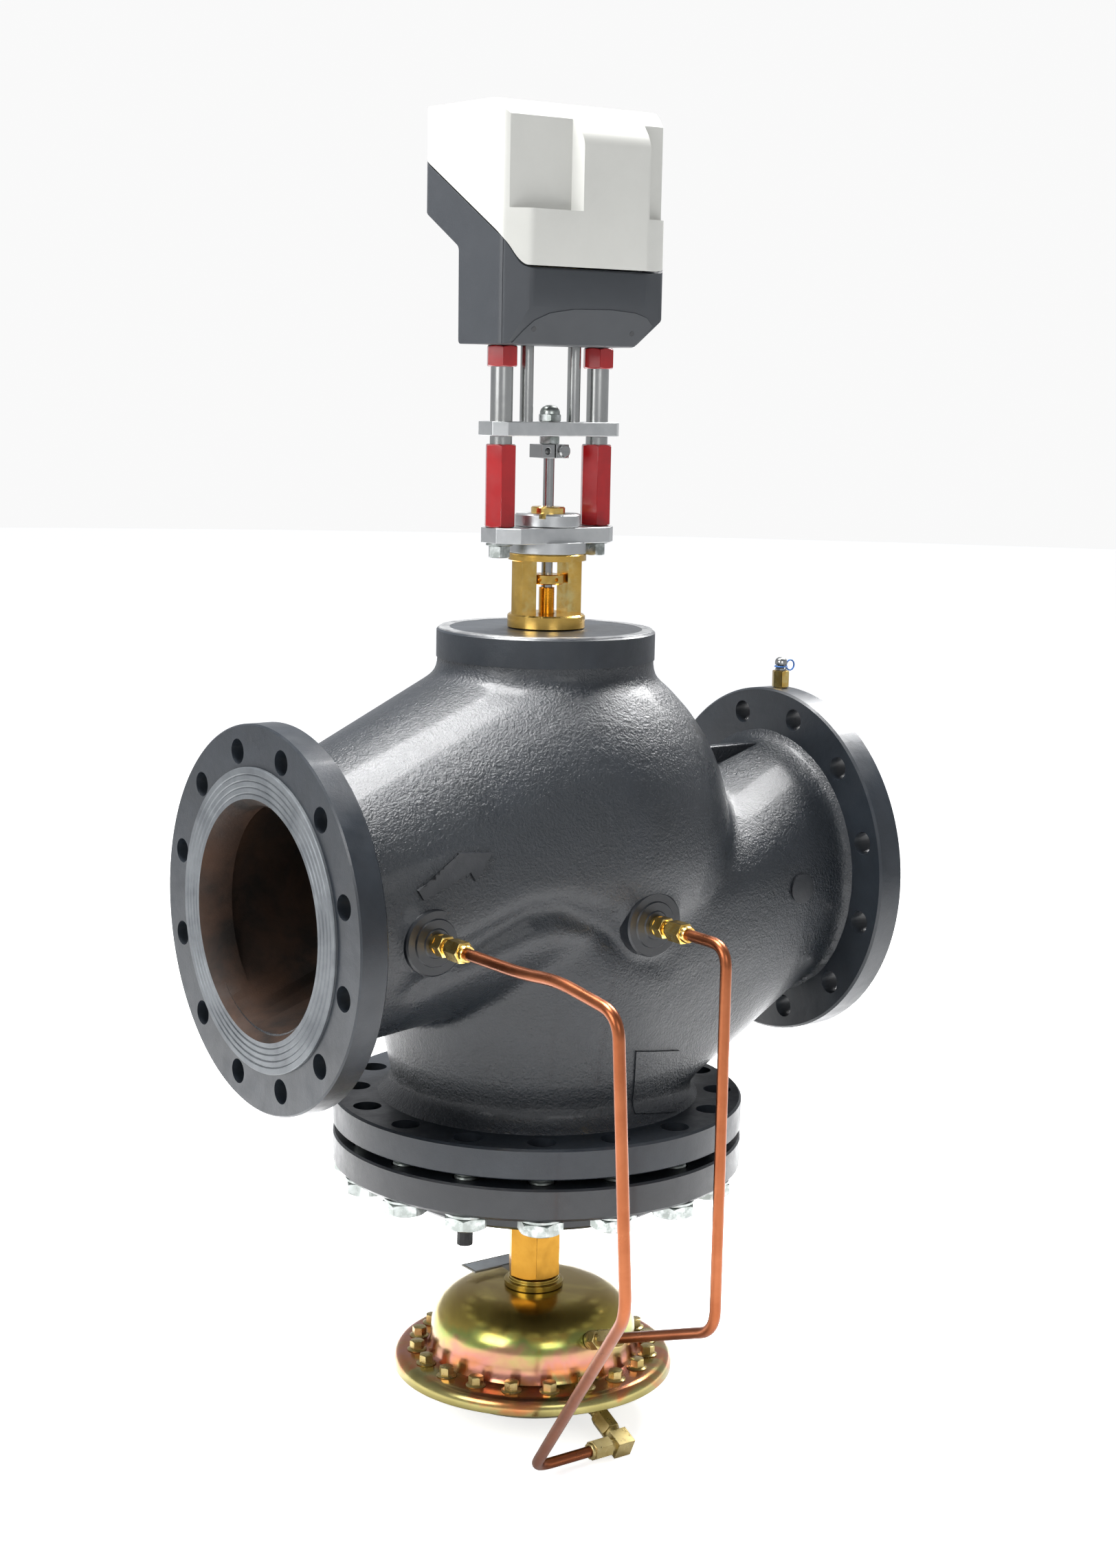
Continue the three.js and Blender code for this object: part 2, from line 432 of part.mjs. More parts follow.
function spring(radius, wire, bottom, top, turns) {
  class Helix extends THREE.Curve {
    getPoint(t) {
      const angle = t * turns * 2 * Math.PI;
      const height = bottom + wire + (top - bottom - 2 * wire) * t;
      return new THREE.Vector3(radius * Math.cos(angle), radius * Math.sin(angle), height);
    }
  }
  const section = new THREE.Shape().absarc(0, 0, wire, 0, 2 * Math.PI);
  const settings = { steps: 45, extrudePath: new Helix(), curveSegments: 3, bevelEnabled: false };
  return new THREE.ExtrudeGeometry(section, settings);
}
piece("control_spring", spring(38, 2.8, -445, -391.5, 5), STEEL);
const caseBolts = around(CASE.bolts, CASE.circle, Math.PI / CASE.bolts).map((p) =>
  hexagon(12, CASE.flange + 0.9, CASE.flange + 10, p.x, p.y));
piece("case_bolts", join(ring(112.5, 107.5, CASE.flange + 0.8, CASE.flange + 1.2, CASE.bolts), ...caseBolts), CHROMATE);
piece("rating_plate", join(block([-38, 38], [44, 68], [-384, -382.6]), block([-7, 7], [29, 46], [-384, -382.6])),
  STEEL);

// ---- Compression fittings and impulse tubes ----
const tubeBore = (from, to) => rod(TUBE.radius + GAP, from, to, ROUND.small);
function tapFitting() {
  const solid = join(rod(9, 0, 4, ROUND.small), hexagon(17, 3, 15), rod(6.8, 14, 22, ROUND.small), hexagon(17, 21, 40),
    rod(7.5, 39, 45, ROUND.small));
  return cut(solid, tubeBore(29, 50));
}
const forward = Math.PI / 2;
piece("fitting_left", tapFitting(), BRASS, onStem, [LEFT_TAP.x, LEFT_TAP.y, LEFT_TAP.z], forward);
piece("fitting_right", tapFitting(), BRASS, onStem, [RIGHT_TAP.x, RIGHT_TAP.y, RIGHT_TAP.z], forward);

const rise = THREE.MathUtils.degToRad(UPPER_PORT.rise);
const fall = THREE.MathUtils.degToRad(LOWER_PORT.fall);
piece("port_fitting_upper", tapFitting(), CHROMATE, onStem, [0, UPPER_PORT.y, UPPER_PORT.z], forward - rise);

const elbowY = LOWER_PORT.y - LOWER_PORT.reach * Math.cos(fall);
const elbowZ = LOWER_PORT.z - LOWER_PORT.reach * Math.sin(fall);
function elbow() {
  const inlet = join(rod(7, 0, 5, ROUND.small), hexagon(12, 3, 11), rod(6, 10, 14, ROUND.small), hexagon(17, 13, 34),
    rod(7, 33, 40, ROUND.small)).rotateX(forward + fall).translate(0, LOWER_PORT.y, LOWER_PORT.z);
  const corner = block([-9, 9], [-9, 9], [-9, 9]).rotateX(fall).translate(0, elbowY, elbowZ);
  const outlet = join(rod(7, 8, 14, ROUND.small), hexagon(17, 13, 32), rod(7.5, 31, 35, ROUND.small))
    .rotateY(-Math.PI / 2).translate(0, elbowY, elbowZ);
  return cut(join(inlet, corner, outlet), tubeBore(18, 60).rotateY(-Math.PI / 2).translate(0, elbowY, elbowZ));
}
piece("port_elbow_lower", elbow(), BRASS);

const tap = (place, depth) => [place.x, place.y - depth, place.z];
piece("tube_left", bentTube([tap(LEFT_TAP, 30), [-205, -262, -3], [-204, -312, 1], [-203, -389, -9], [-191, -392, -250],
  [-96, elbowY, elbowZ], [-19, elbowY, elbowZ]], TUBE.radius, TUBE.bend, 48), COPPER);
const legY = -271;
const along = (y) => UPPER_PORT.z + (UPPER_PORT.y - y) * Math.tan(rise);
const portEnd = UPPER_PORT.y - 30 * Math.cos(rise);
piece("tube_right", bentTube([tap(RIGHT_TAP, 30), [0, legY, RIGHT_TAP.z], [0, legY, along(legY)],
  [0, portEnd, along(portEnd)]], TUBE.radius, TUBE.bend, 32), COPPER);

// ---- Test point on the outlet flange ----
const onRim = [FACE_TO_FACE - PIPE.thick / 2, 0, 0];
piece("test_point", join(rod(5, 156, 171, ROUND.small), hexagon(15, PIPE.flange + 0.5, 187)), BRASS, valve, onRim);
piece("test_cap", turned([[0, 187.3], [5.5, 187.3], [5.5, 189], [4.2, 190], [4.2, 191.5], [6, 193], [6, 196], [4, 199],
  [0, 200]], ROUND.small), STEEL, valve, onRim);
const strapRing = new THREE.TorusGeometry(5.9, 0.7, 4, 12).translate(0, 0, 190.8);
const strapLoop = new THREE.TorusGeometry(5, 0.8, 5, 12).rotateX(Math.PI / 2).translate(11.8, 0, 191.6);
piece("test_strap", join(strapRing, strapLoop), BLUE_PLASTIC, valve, onRim);

export default valve;
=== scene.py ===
"""A pressure-independent zone valve, DN 200: a painted iron globe body between two pipe flanges, a motor
actuator on a pillar yoke above it, and a diaphragm controller with copper impulse tubes below it."""

import json
import math

import bmesh
import bpy
from mathutils import Matrix, Vector
from mathutils.bvhtree import BVHTree

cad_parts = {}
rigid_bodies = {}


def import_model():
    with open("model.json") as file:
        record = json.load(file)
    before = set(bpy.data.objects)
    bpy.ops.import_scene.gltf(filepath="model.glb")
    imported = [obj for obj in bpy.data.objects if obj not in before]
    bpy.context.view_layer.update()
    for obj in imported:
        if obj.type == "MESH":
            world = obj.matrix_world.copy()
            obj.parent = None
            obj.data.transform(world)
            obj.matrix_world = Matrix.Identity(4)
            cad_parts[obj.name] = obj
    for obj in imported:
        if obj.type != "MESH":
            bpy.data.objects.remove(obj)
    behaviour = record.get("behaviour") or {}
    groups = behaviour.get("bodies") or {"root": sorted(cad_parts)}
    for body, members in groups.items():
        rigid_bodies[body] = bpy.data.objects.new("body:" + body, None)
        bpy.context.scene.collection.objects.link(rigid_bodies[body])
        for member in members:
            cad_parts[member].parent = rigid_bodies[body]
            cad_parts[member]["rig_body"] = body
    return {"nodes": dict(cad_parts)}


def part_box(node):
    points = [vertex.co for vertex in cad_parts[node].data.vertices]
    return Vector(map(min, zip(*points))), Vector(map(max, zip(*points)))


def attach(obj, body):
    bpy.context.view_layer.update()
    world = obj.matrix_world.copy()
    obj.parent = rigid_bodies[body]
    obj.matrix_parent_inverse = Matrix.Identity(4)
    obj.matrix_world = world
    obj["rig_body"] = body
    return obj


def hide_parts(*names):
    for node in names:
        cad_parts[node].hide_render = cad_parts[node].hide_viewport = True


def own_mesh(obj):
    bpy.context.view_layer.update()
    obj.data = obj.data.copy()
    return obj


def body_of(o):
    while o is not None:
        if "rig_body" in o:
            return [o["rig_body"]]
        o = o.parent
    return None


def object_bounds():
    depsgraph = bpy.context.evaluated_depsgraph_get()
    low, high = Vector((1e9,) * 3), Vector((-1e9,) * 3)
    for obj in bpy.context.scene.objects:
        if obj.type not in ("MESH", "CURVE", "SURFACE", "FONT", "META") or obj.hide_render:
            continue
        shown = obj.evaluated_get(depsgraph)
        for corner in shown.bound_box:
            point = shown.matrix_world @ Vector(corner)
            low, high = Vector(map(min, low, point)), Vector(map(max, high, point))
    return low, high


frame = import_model()
cad_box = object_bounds()

# ---- Valve body ----
# One iron casting with machined flanges, sprayed with a dark blue-grey paint. The chambers flow into the
# necks with wide fillets; the flange faces, holes and the boss on top are turned and drilled afterwards.

# Shapes are drawn in millimetres from the stem axis and set down in metres.
MM = 0.001
STEM = (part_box("yoke")[0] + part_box("yoke")[1]) / 2
STEM.z = 0


def box_of(node):
    """The corners of a CAD node in millimetres from the stem axis."""
    return [(corner - STEM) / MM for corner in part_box(node)]


def spun(profile, steps=96):
    """A turned shape from [radius, height] points."""
    bm = bmesh.new()
    verts = [bm.verts.new((radius, 0, height)) for radius, height in profile]
    edges = [bm.edges.new(pair) for pair in zip(verts, verts[1:])]
    if profile[0][0] > 0:
        edges.append(bm.edges.new((verts[-1], verts[0])))
    bmesh.ops.spin(bm, geom=verts + edges, axis=(0, 0, 1), angle=math.tau, steps=steps, use_merge=True)
    bmesh.ops.remove_doubles(bm, verts=bm.verts, dist=1e-3)
    bmesh.ops.recalc_face_normals(bm, faces=bm.faces)
    return bm


def bar(radius, bottom, top, steps=48):
    """A plain round bar."""
    return spun([(0, bottom), (radius, bottom), (radius, top), (0, top)], steps)


def prism(outline, bottom, top):
    """An upright shape over an outline of [x, y] points."""
    bm = bmesh.new()
    face = bm.faces.new([bm.verts.new((x, y, bottom)) for x, y in outline])
    raised = bmesh.ops.extrude_face_region(bm, geom=[face])["geom"]
    tops = [v for v in raised if isinstance(v, bmesh.types.BMVert)]
    bmesh.ops.translate(bm, verts=tops, vec=(0, 0, top - bottom))
    bmesh.ops.recalc_face_normals(bm, faces=bm.faces)
    return bm


def block(x, y, z):
    """A box between a low and a high value on each axis."""
    return prism([(x[0], y[0]), (x[1], y[0]), (x[1], y[1]), (x[0], y[1])], *z)


def moved(bm, x=0, y=0, z=0, turn=0, about="Z"):
    """The shape turned by degrees about an axis through the origin, then moved."""
    place = Matrix.Translation((x, y, z)) @ Matrix.Rotation(math.radians(turn), 4, about)
    bmesh.ops.transform(bm, matrix=place, verts=bm.verts)
    return bm


def with_parts(bm, *others):
    """The shape with copies of others beside it or overlapping it."""
    for other in others:
        mesh = bpy.data.meshes.new("part")
        other.to_mesh(mesh)
        other.free()
        bm.from_mesh(mesh)
        bpy.data.meshes.remove(mesh)
    return bm


def ringed(make, count, radius, phase=0):
    """Shapes from make(), set round a circle."""
    shapes = []
    for i in range(count):
        angle = phase + i * 360 / count
        shapes.append(moved(moved(make(), x=radius), turn=angle))
    return with_parts(*shapes)


def through_modifiers(bm, add_modifiers):
    """The shape after modifiers that add_modifiers(object) puts on it."""
    mesh = bpy.data.meshes.new("work")
    bm.to_mesh(mesh)
    bm.free()
    work = bpy.data.objects.new("work", mesh)
    bpy.context.collection.objects.link(work)
    add_modifiers(work)
    shaped = work.evaluated_get(bpy.context.evaluated_depsgraph_get()).to_mesh()
    result = bmesh.new()
    result.from_mesh(shaped)
    bpy.data.objects.remove(work)
    bpy.data.meshes.remove(mesh)
    return result


def combined(bm, other, operation):
    """The union, difference or intersection of two closed shapes."""
    mesh = bpy.data.meshes.new("tool")
    other.to_mesh(mesh)
    other.free()
    tool = bpy.data.objects.new("tool", mesh)
    bpy.context.collection.objects.link(tool)

    def add_boolean(work):
        boolean = work.modifiers.new("shape", "BOOLEAN")
        boolean.operation = operation
        boolean.solver = "EXACT"
        boolean.object = tool

    result = through_modifiers(bm, add_boolean)
    bpy.data.objects.remove(tool)
    bpy.data.meshes.remove(mesh)
    return result


def cut(bm, *tools):
    """The shape with closed shapes taken away."""
    for tool in tools:
        bm = combined(bm, tool, "DIFFERENCE")
    return bm


def piece(name, bm, material, node, rounding=0, sharp=35):
    """Sets a finished shape down as a piece that rides with a CAD node and stands for it."""
    bmesh.ops.scale(bm, vec=(MM, MM, MM), verts=bm.verts)
    bmesh.ops.translate(bm, vec=STEM, verts=bm.verts)
    mesh = bpy.data.meshes.new(name)
    bm.to_mesh(mesh)
    bm.free()
    mesh.shade_smooth()
    mesh.set_sharp_from_angle(angle=math.radians(sharp))
    mesh.materials.append(material)
    made = bpy.data.objects.new(name, mesh)
    bpy.context.collection.objects.link(made)
    if rounding:
        bevel = made.modifiers.new("rounding", "BEVEL")
        bevel.width = rounding * MM
        bevel.segments = 3
        bevel.limit_method = "ANGLE"
        bevel.angle_limit = math.radians(30)
        bevel.harden_normals = True
    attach(made, body_of(frame["nodes"][node])[0])
    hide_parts(node)
    return made


def new_group(name, inputs, outputs):
    """An empty shader node group with its named sockets."""
    group = bpy.data.node_groups.new(name, "ShaderNodeTree")
    for label, kind, value in inputs:
        socket = group.interface.new_socket(label, in_out="INPUT", socket_type="NodeSocket" + kind)
        socket.default_value = value
    for label, kind in outputs:
        group.interface.new_socket(label, in_out="OUTPUT", socket_type="NodeSocket" + kind)
    return group, group.nodes.new("NodeGroupInput").outputs, group.nodes.new("NodeGroupOutput").inputs


def add_node(tree, kind, settings=None, **values):
    """A node with its settings, and its inputs set to a value or linked from a socket."""
    node = tree.nodes.new("ShaderNode" + kind)
    for key, value in (settings or {}).items():
        setattr(node, key, value)
    for label, value in values.items():
        socket = node.inputs[label.replace("_", " ")]
        if isinstance(value, bpy.types.NodeSocket):
            tree.links.new(value, socket)
        else:
            socket.default_value = value
    return node


def noise_of(tree, scale, detail=3, roughness=0.5, distortion=0):
    """Soft noise over the piece."""
    coordinates = add_node(tree, "TexCoord").outputs["Object"]
    return add_node(tree, "TexNoise", Vector=coordinates, Scale=scale, Detail=detail, Roughness=roughness,
                    Distortion=distortion).outputs["Fac"]


def spread(tree, value, low, high, to_low=0.0, to_high=1.0):
    """A value stretched from one range to another."""
    return add_node(tree, "MapRange", Value=value, From_Min=low, From_Max=high, To_Min=to_low,
                    To_Max=to_high).outputs["Result"]


# Patches of a second colour, as in uneven paint, tarnish or handling.
patches, given, out = new_group(
    "patches", [("Main", "Color", (1, 1, 1, 1)), ("Patch", "Color", (0, 0, 0, 1)), ("Scale", "Float", 30.0)],
    [("Color", "Color"), ("Mask", "Float")])
cloud = spread(patches, noise_of(patches, given["Scale"], 6, 0.62, 0.4), 0.36, 0.66)
blend = add_node(patches, "MixRGB", Fac=cloud, Color1=given["Main"], Color2=given["Patch"])
patches.links.new(blend.outputs[0], out["Color"])
patches.links.new(cloud, out["Mask"])

# Rubbed corners: the mask is strong on convex edges and broken up by fine noise.
worn_edges, given, out = new_group(
    "worn edges", [("Start", "Float", 0.52), ("Full", "Float", 0.6), ("Breakup", "Float", 120.0)],
    [("Mask", "Float")])
pointed = add_node(worn_edges, "NewGeometry").outputs["Pointiness"]
corner = spread(worn_edges, pointed, given["Start"], given["Full"])
rubbed = spread(worn_edges, noise_of(worn_edges, given["Breakup"], 4, 0.6), 0.4, 0.62)
both = add_node(worn_edges, "Math", {"operation": "MULTIPLY"})
worn_edges.links.new(corner, both.inputs[0])
worn_edges.links.new(rubbed, both.inputs[1])
worn_edges.links.new(both.outputs[0], out["Mask"])

# Relief from a coarse and a fine layer of noise.
relief, given, out = new_group(
    "relief", [("Coarse", "Float", 60.0), ("Fine", "Float", 600.0), ("Share", "Float", 0.4)],
    [("Height", "Float")])
layers = add_node(relief, "MixRGB", Fac=given["Share"], Color1=noise_of(relief, given["Coarse"], 3),
                  Color2=noise_of(relief, given["Fine"], 4, 0.6))
relief.links.new(layers.outputs[0], out["Height"])


def use_group(tree, group, **values):
    """A group placed in a material with its own values."""
    node = tree.nodes.new("ShaderNodeGroup")
    node.node_tree = group
    for label, value in values.items():
        node.inputs[label].default_value = value
    return node.outputs


def rgb(value):
    """A linear colour from an 0xRRGGBB one."""
    channels = [((value >> shift) & 255) / 255 for shift in (16, 8, 0)]
    return [c / 12.92 if c <= 0.04045 else ((c + 0.055) / 1.055) ** 2.4 for c in channels] + [1]


def finish(name, main, patch, patch_scale, roughness, coarse, fine, share, depth, metallic=0.0, worn=None,
           coat=0.0, specular=0.5):
    """A surface of two colours, with an uneven gloss between a low and a high roughness. Its relief is depth
    millimetres high, a share of it fine noise. Where worn is a colour, its corners are rubbed."""
    material = bpy.data.materials.new(name)
    material.use_nodes = True
    tree = material.node_tree
    shader = tree.nodes["Principled BSDF"]
    shader.inputs["Metallic"].default_value = metallic
    shader.inputs["Coat Weight"].default_value = coat
    shader.inputs["Coat Roughness"].default_value = 0.12
    shader.inputs["Specular IOR Level"].default_value = specular
    tone = use_group(tree, patches, Main=rgb(main), Patch=rgb(patch), Scale=patch_scale)
    colour = tone["Color"]
    if worn is not None:
        rub = use_group(tree, worn_edges, Start=0.53, Full=0.62)["Mask"]
        colour = add_node(tree, "MixRGB", Fac=rub, Color1=colour, Color2=rgb(worn)).outputs[0]
    tree.links.new(colour, shader.inputs["Base Color"])
    gloss = spread(tree, noise_of(tree, patch_scale * 2.3, 5, 0.6), 0.3, 0.7, *roughness)
    tree.links.new(gloss, shader.inputs["Roughness"])
    height = use_group(tree, relief, Coarse=coarse, Fine=fine, Share=share)["Height"]
    bump = add_node(tree, "Bump", Height=height, Strength=1.0, Distance=depth * MM)
    tree.links.new(bump.outputs[0], shader.inputs["Normal"])
    return material


cast_paint = finish("cast paint", 0x1d2126, 0x171b1f, 12, (0.25, 0.36), 150, 430, 0.6, 1.6, coat=0.12)
machined_paint = finish("machined paint", 0x20252b, 0x191d22, 18, (0.28, 0.46), 170, 800, 0.4, 0.25,
                        specular=0.42, coat=0.1)
gasket_face = finish("worn gasket face", 0x676b6e, 0x4b4f53, 22, (0.34, 0.5), 210, 900, 0.5, 0.12,
                     metallic=0.45)
dark_paint = finish("dark paint", 0x15181d, 0x101317, 30, (0.3, 0.45), 120, 700, 0.4, 0.25, coat=0.2)
bore_rust = finish("bore rust", 0x1b1613, 0x3a281d, 16, (0.6, 0.85), 90, 500, 0.5, 0.5, specular=0.25)
bare_iron = finish("bare iron", 0xa7a8a8, 0x77787a, 60, (0.28, 0.5), 300, 1400, 0.5, 0.05, metallic=0.85)

FLANGE = {"radius": 170, "thick": 30, "face": 133, "step": 3, "bore": 100, "flare": 105.5, "circle": 147.5,
          "hole": 11, "bolts": 12}
END = 300
RIM_X = END - FLANGE["thick"] / 2
NECK = 123
COVER_FLANGE = {"radius": 192, "bore": 122, "top": -194, "bottom": -221.5, "circle": 170, "hole": 13,
                "bolts": 16}
BOSS_TOP = 241
LEFT_TAP = Vector((-205, -141.5, -3))
RIGHT_TAP = Vector((0, -175.8, -4))


def chamber_hull(end, opening, rows, steps=72):
    """The neck from a pipe opening to the round chamber, wrapped round their circles."""
    bm = bmesh.new()
    bmesh.ops.create_circle(bm, radius=opening, segments=steps,
                            matrix=Matrix.Translation((end, 0, 0)) @ Matrix.Rotation(math.pi / 2, 4, "Y"))
    for height, radius in rows:
        bmesh.ops.create_circle(bm, radius=radius, segments=steps, matrix=Matrix.Translation((0, 0, height)))
    wrapped = bmesh.ops.convex_hull(bm, input=bm.verts)
    left_over = wrapped["geom_interior"] + wrapped["geom_unused"]
    inside = {v for v in left_over if isinstance(v, bmesh.types.BMVert)}
    bmesh.ops.delete(bm, geom=list(inside), context="VERTS")
    bmesh.ops.delete(bm, geom=[e for e in bm.edges if not e.link_faces], context="EDGES")
    bmesh.ops.recalc_face_normals(bm, faces=bm.faces)
    return bm


def bulge(radius, middle, up, down, bottom, top, count=14):
    """Rows of a rounded chamber: [height, radius]."""
    rows = []
    for i in range(count + 1):
        height = bottom + (top - bottom) * i / count
        share = (height - middle) / (up if height > middle else down)
        rows.append((height, radius * math.sqrt(1 - share * share)))
    return rows


LOWER_ROWS = [(-185, 134), (-158, 142), (-128, 147), (-90, 155), (-50, 159), (-20, 158), (-6, 158)]
flange_root = bar(FLANGE["circle"] - FLANGE["hole"] - 1.5, 8, FLANGE["thick"] - 0.4, 72)
rough_casting = with_parts(
    chamber_hull(-END + FLANGE["thick"] - 2, NECK, bulge(175, 45, 188, 130, -60, 230)),
    chamber_hull(END - FLANGE["thick"] + 2, NECK, LOWER_ROWS),
    spun([(0, -215), (156, -215), (156, -194.4), (150, -194.4), (137, -181), (132, -165), (147, -90),
          (150, -50), (150, -10), (140, 40), (0, 40)], 72),
    bar(99, 180, BOSS_TOP - 3, 72),
    moved(flange_root.copy(), x=-END, turn=90, about="Y"),
    moved(flange_root, x=END, turn=-90, about="Y"),
    moved(bar(28, 115, -LEFT_TAP.y - 3), x=LEFT_TAP.x, z=LEFT_TAP.z, turn=90, about="X"),
    moved(bar(28, 150, -RIGHT_TAP.y - 3), z=RIGHT_TAP.z, turn=90, about="X"))


def add_remesh(work):
    """One skin over the overlapping shapes."""
    remesh = work.modifiers.new("skin", "REMESH")
    remesh.mode = "VOXEL"
    remesh.voxel_size = 4.6


def smoothed(bm, factor):
    """Eases every corner of the skin towards its neighbours."""
    bmesh.ops.smooth_vert(bm, verts=bm.verts, factor=factor, use_axis_x=True, use_axis_y=True,
                          use_axis_z=True)


casting = through_modifiers(rough_casting, add_remesh)
for _ in range(9):
    smoothed(casting, 0.5)

# The valley between the inlet neck and the lower bowl, as [x, z] points across the front of the casting.
VALLEY = [(-226, -56), (-199, -29), (-157, -6), (-117, 13), (-87, 15), (-45, -2), (-10, -26), (38, -55)]
VALLEY_DEPTH, VALLEY_WIDTH = 9, 12
# Below it the bowl swells out, starting near the valley and dying away further down.
BOWL_SWELL, SWELL_START, SWELL_END = 5, 18, 55
# The stretch of the skin that the valley can reach.
VALLEY_FRONT, VALLEY_SIDE, VALLEY_BOTTOM, VALLEY_TOP = -40, 262, -150, 80


def from_valley(x, z):
    """How far a point is from the valley, how far along it lies from 0 to 1, and whether it is below it."""
    nearest = (1e9, 0, 0)
    for i, ((x1, z1), (x2, z2)) in enumerate(zip(VALLEY, VALLEY[1:])):
        run, rise = x2 - x1, z2 - z1
        t = max(0, min(1, ((x - x1) * run + (z - z1) * rise) / (run * run + rise * rise)))
        side = run * (z - z1) - rise * (x - x1)
        distance = math.hypot(x - x1 - t * run, z - z1 - t * rise)
        nearest = min(nearest, (distance, (i + t) / (len(VALLEY) - 1), side))
    return nearest


for v in casting.verts:
    on_front = v.co.y < VALLEY_FRONT and abs(v.co.x) < VALLEY_SIDE
    if on_front and VALLEY_BOTTOM < v.co.z < VALLEY_TOP:
        distance, along, side = from_valley(v.co.x, v.co.z)
        fade = math.sin(math.pi * min(1, max(0, along)) ** 0.8) ** 0.7
        inward = VALLEY_DEPTH * math.exp(-(distance / VALLEY_WIDTH) ** 2)
        if side < 0:
            rising = 1 - math.exp(-(distance / SWELL_START) ** 2)
            inward -= BOWL_SWELL * rising * math.exp(-(distance / SWELL_END) ** 2)
        v.co.y += inward * fade
smoothed(casting, 0.3)
casting_skin = BVHTree.FromBMesh(casting)

hollow = chamber_hull(-END - 1, FLANGE["bore"], bulge(159, 45, 165, 115, -15, 200, 8), 48)
lower_room = chamber_hull(END + 1, FLANGE["bore"], [(-180, 122), (-110, 135), (-45, 141)], 48)
hollow = combined(hollow, lower_room, "UNION")
hollow = combined(hollow, bar(122.1, -240, -179), "UNION")
hollow = combined(hollow, bar(88.3, -60, 0), "UNION")
hollow = combined(hollow, bar(15.3, 190, 260), "UNION")
plug_hole = moved(bar(5.3, 155, 180), x=RIM_X)
below_flange = bar(COVER_FLANGE["radius"] + 5, -240, COVER_FLANGE["bottom"] + 2)
casting = cut(casting, hollow, below_flange, plug_hole.copy())
for face in casting.faces:
    middle = face.calc_center_median()
    if abs(middle.x) > 60 and middle.z > -165 and face.normal.dot(Vector((0, middle.y, middle.z))) < 0:
        face.material_index = 1
body_casting = piece("body_casting", casting, cast_paint, "valve_body", sharp=80)
body_casting.data.materials.append(bore_rust)


def pipe_flange():
    """A turned flange: raised face with gasket grooves, flared bore and twelve bolt holes."""
    face = [(FLANGE["flare"], 0)]
    for i in range(4):
        middle = 110 + i * 5.5
        face += [(middle - 1.1, 0), (middle, 0.9), (middle + 1.1, 0)]
    ring = spun(face + [(FLANGE["face"] - 0.8, 0), (FLANGE["face"], 0.8), (FLANGE["face"], FLANGE["step"]),
                        (FLANGE["radius"] - 1.5, FLANGE["step"]), (FLANGE["radius"], FLANGE["step"] + 1.5),
                        (FLANGE["radius"], FLANGE["thick"] - 2), (FLANGE["radius"] - 2, FLANGE["thick"]),
                        (FLANGE["bore"] - 0.5, FLANGE["thick"]), (FLANGE["bore"] - 0.5, 9)], 144)
    holes = ringed(lambda: bar(FLANGE["hole"], -5, 40, 32), FLANGE["bolts"], FLANGE["circle"],
                   180 / FLANGE["bolts"])
    ring = cut(ring, holes)
    for face in ring.faces:
        middle = face.calc_center_median()
        radius = middle.xy.length
        if radius < FLANGE["flare"] and middle.z > 0.1:
            face.material_index = 2
        elif radius < FLANGE["face"] and middle.z < FLANGE["step"] - 0.1:
            face.material_index = 1
    return ring


def set_down_flange(name, bm):
    """A pipe flange, painted outside, bare on its gasket face and rusty in its bore."""
    flange = piece(name, bm, machined_paint, "valve_body")
    flange.data.materials.append(gasket_face)
    flange.data.materials.append(bore_rust)


set_down_flange("inlet_flange", moved(pipe_flange(), x=-END, turn=90, about="Y"))
outlet_flange = moved(pipe_flange(), x=END, turn=-90, about="Y")
set_down_flange("outlet_flange", cut(outlet_flange, plug_hole))


def at_cover_bolts(make):
    """Shapes from make(), one at each bolt of the bottom cover."""
    return ringed(make, COVER_FLANGE["bolts"], COVER_FLANGE["circle"], 180 / COVER_FLANGE["bolts"])


rim, low, high = COVER_FLANGE["radius"], COVER_FLANGE["bottom"], COVER_FLANGE["top"]
cover_flange = spun([(COVER_FLANGE["bore"], low), (rim - 1, low), (rim, low + 1), (rim, high - 2),
                     (rim - 2, high), (COVER_FLANGE["bore"] + 18, high), (COVER_FLANGE["bore"], high)], 144)
flange_holes = at_cover_bolts(lambda: bar(COVER_FLANGE["hole"], -240, -180, 32))
piece("body_cover_flange", cut(cover_flange, flange_holes), machined_paint, "valve_body")
boss = spun([(15.3, 214), (100, 214), (100, BOSS_TOP - 2.5), (97.5, BOSS_TOP - 0.2), (15.3, BOSS_TOP - 0.2)],
            128)
piece("body_boss", boss, machined_paint, "valve_body")
boss_edge = spun([(88, 236), (99, 236), (98.4, BOSS_TOP - 0.9), (97.6, BOSS_TOP), (88, BOSS_TOP)], 128)
piece("boss_turned_edge", boss_edge, bare_iron, "valve_body")

for name, tap in (("left", LEFT_TAP), ("right", RIGHT_TAP)):
    top = -tap.y - 0.3
    pad = spun([(0, top - 16), (29, top - 16), (29, top - 4), (27.5, top - 2.5), (21, top - 2.5),
                (20, top - 1.2), (13, top - 1.2), (12, top), (0, top)], 72)
    pad = moved(pad, x=tap.x, z=tap.z, turn=90, about="X")
    piece("tap_boss_" + name, pad, dark_paint, "valve_body")

MARK_GRID = 4


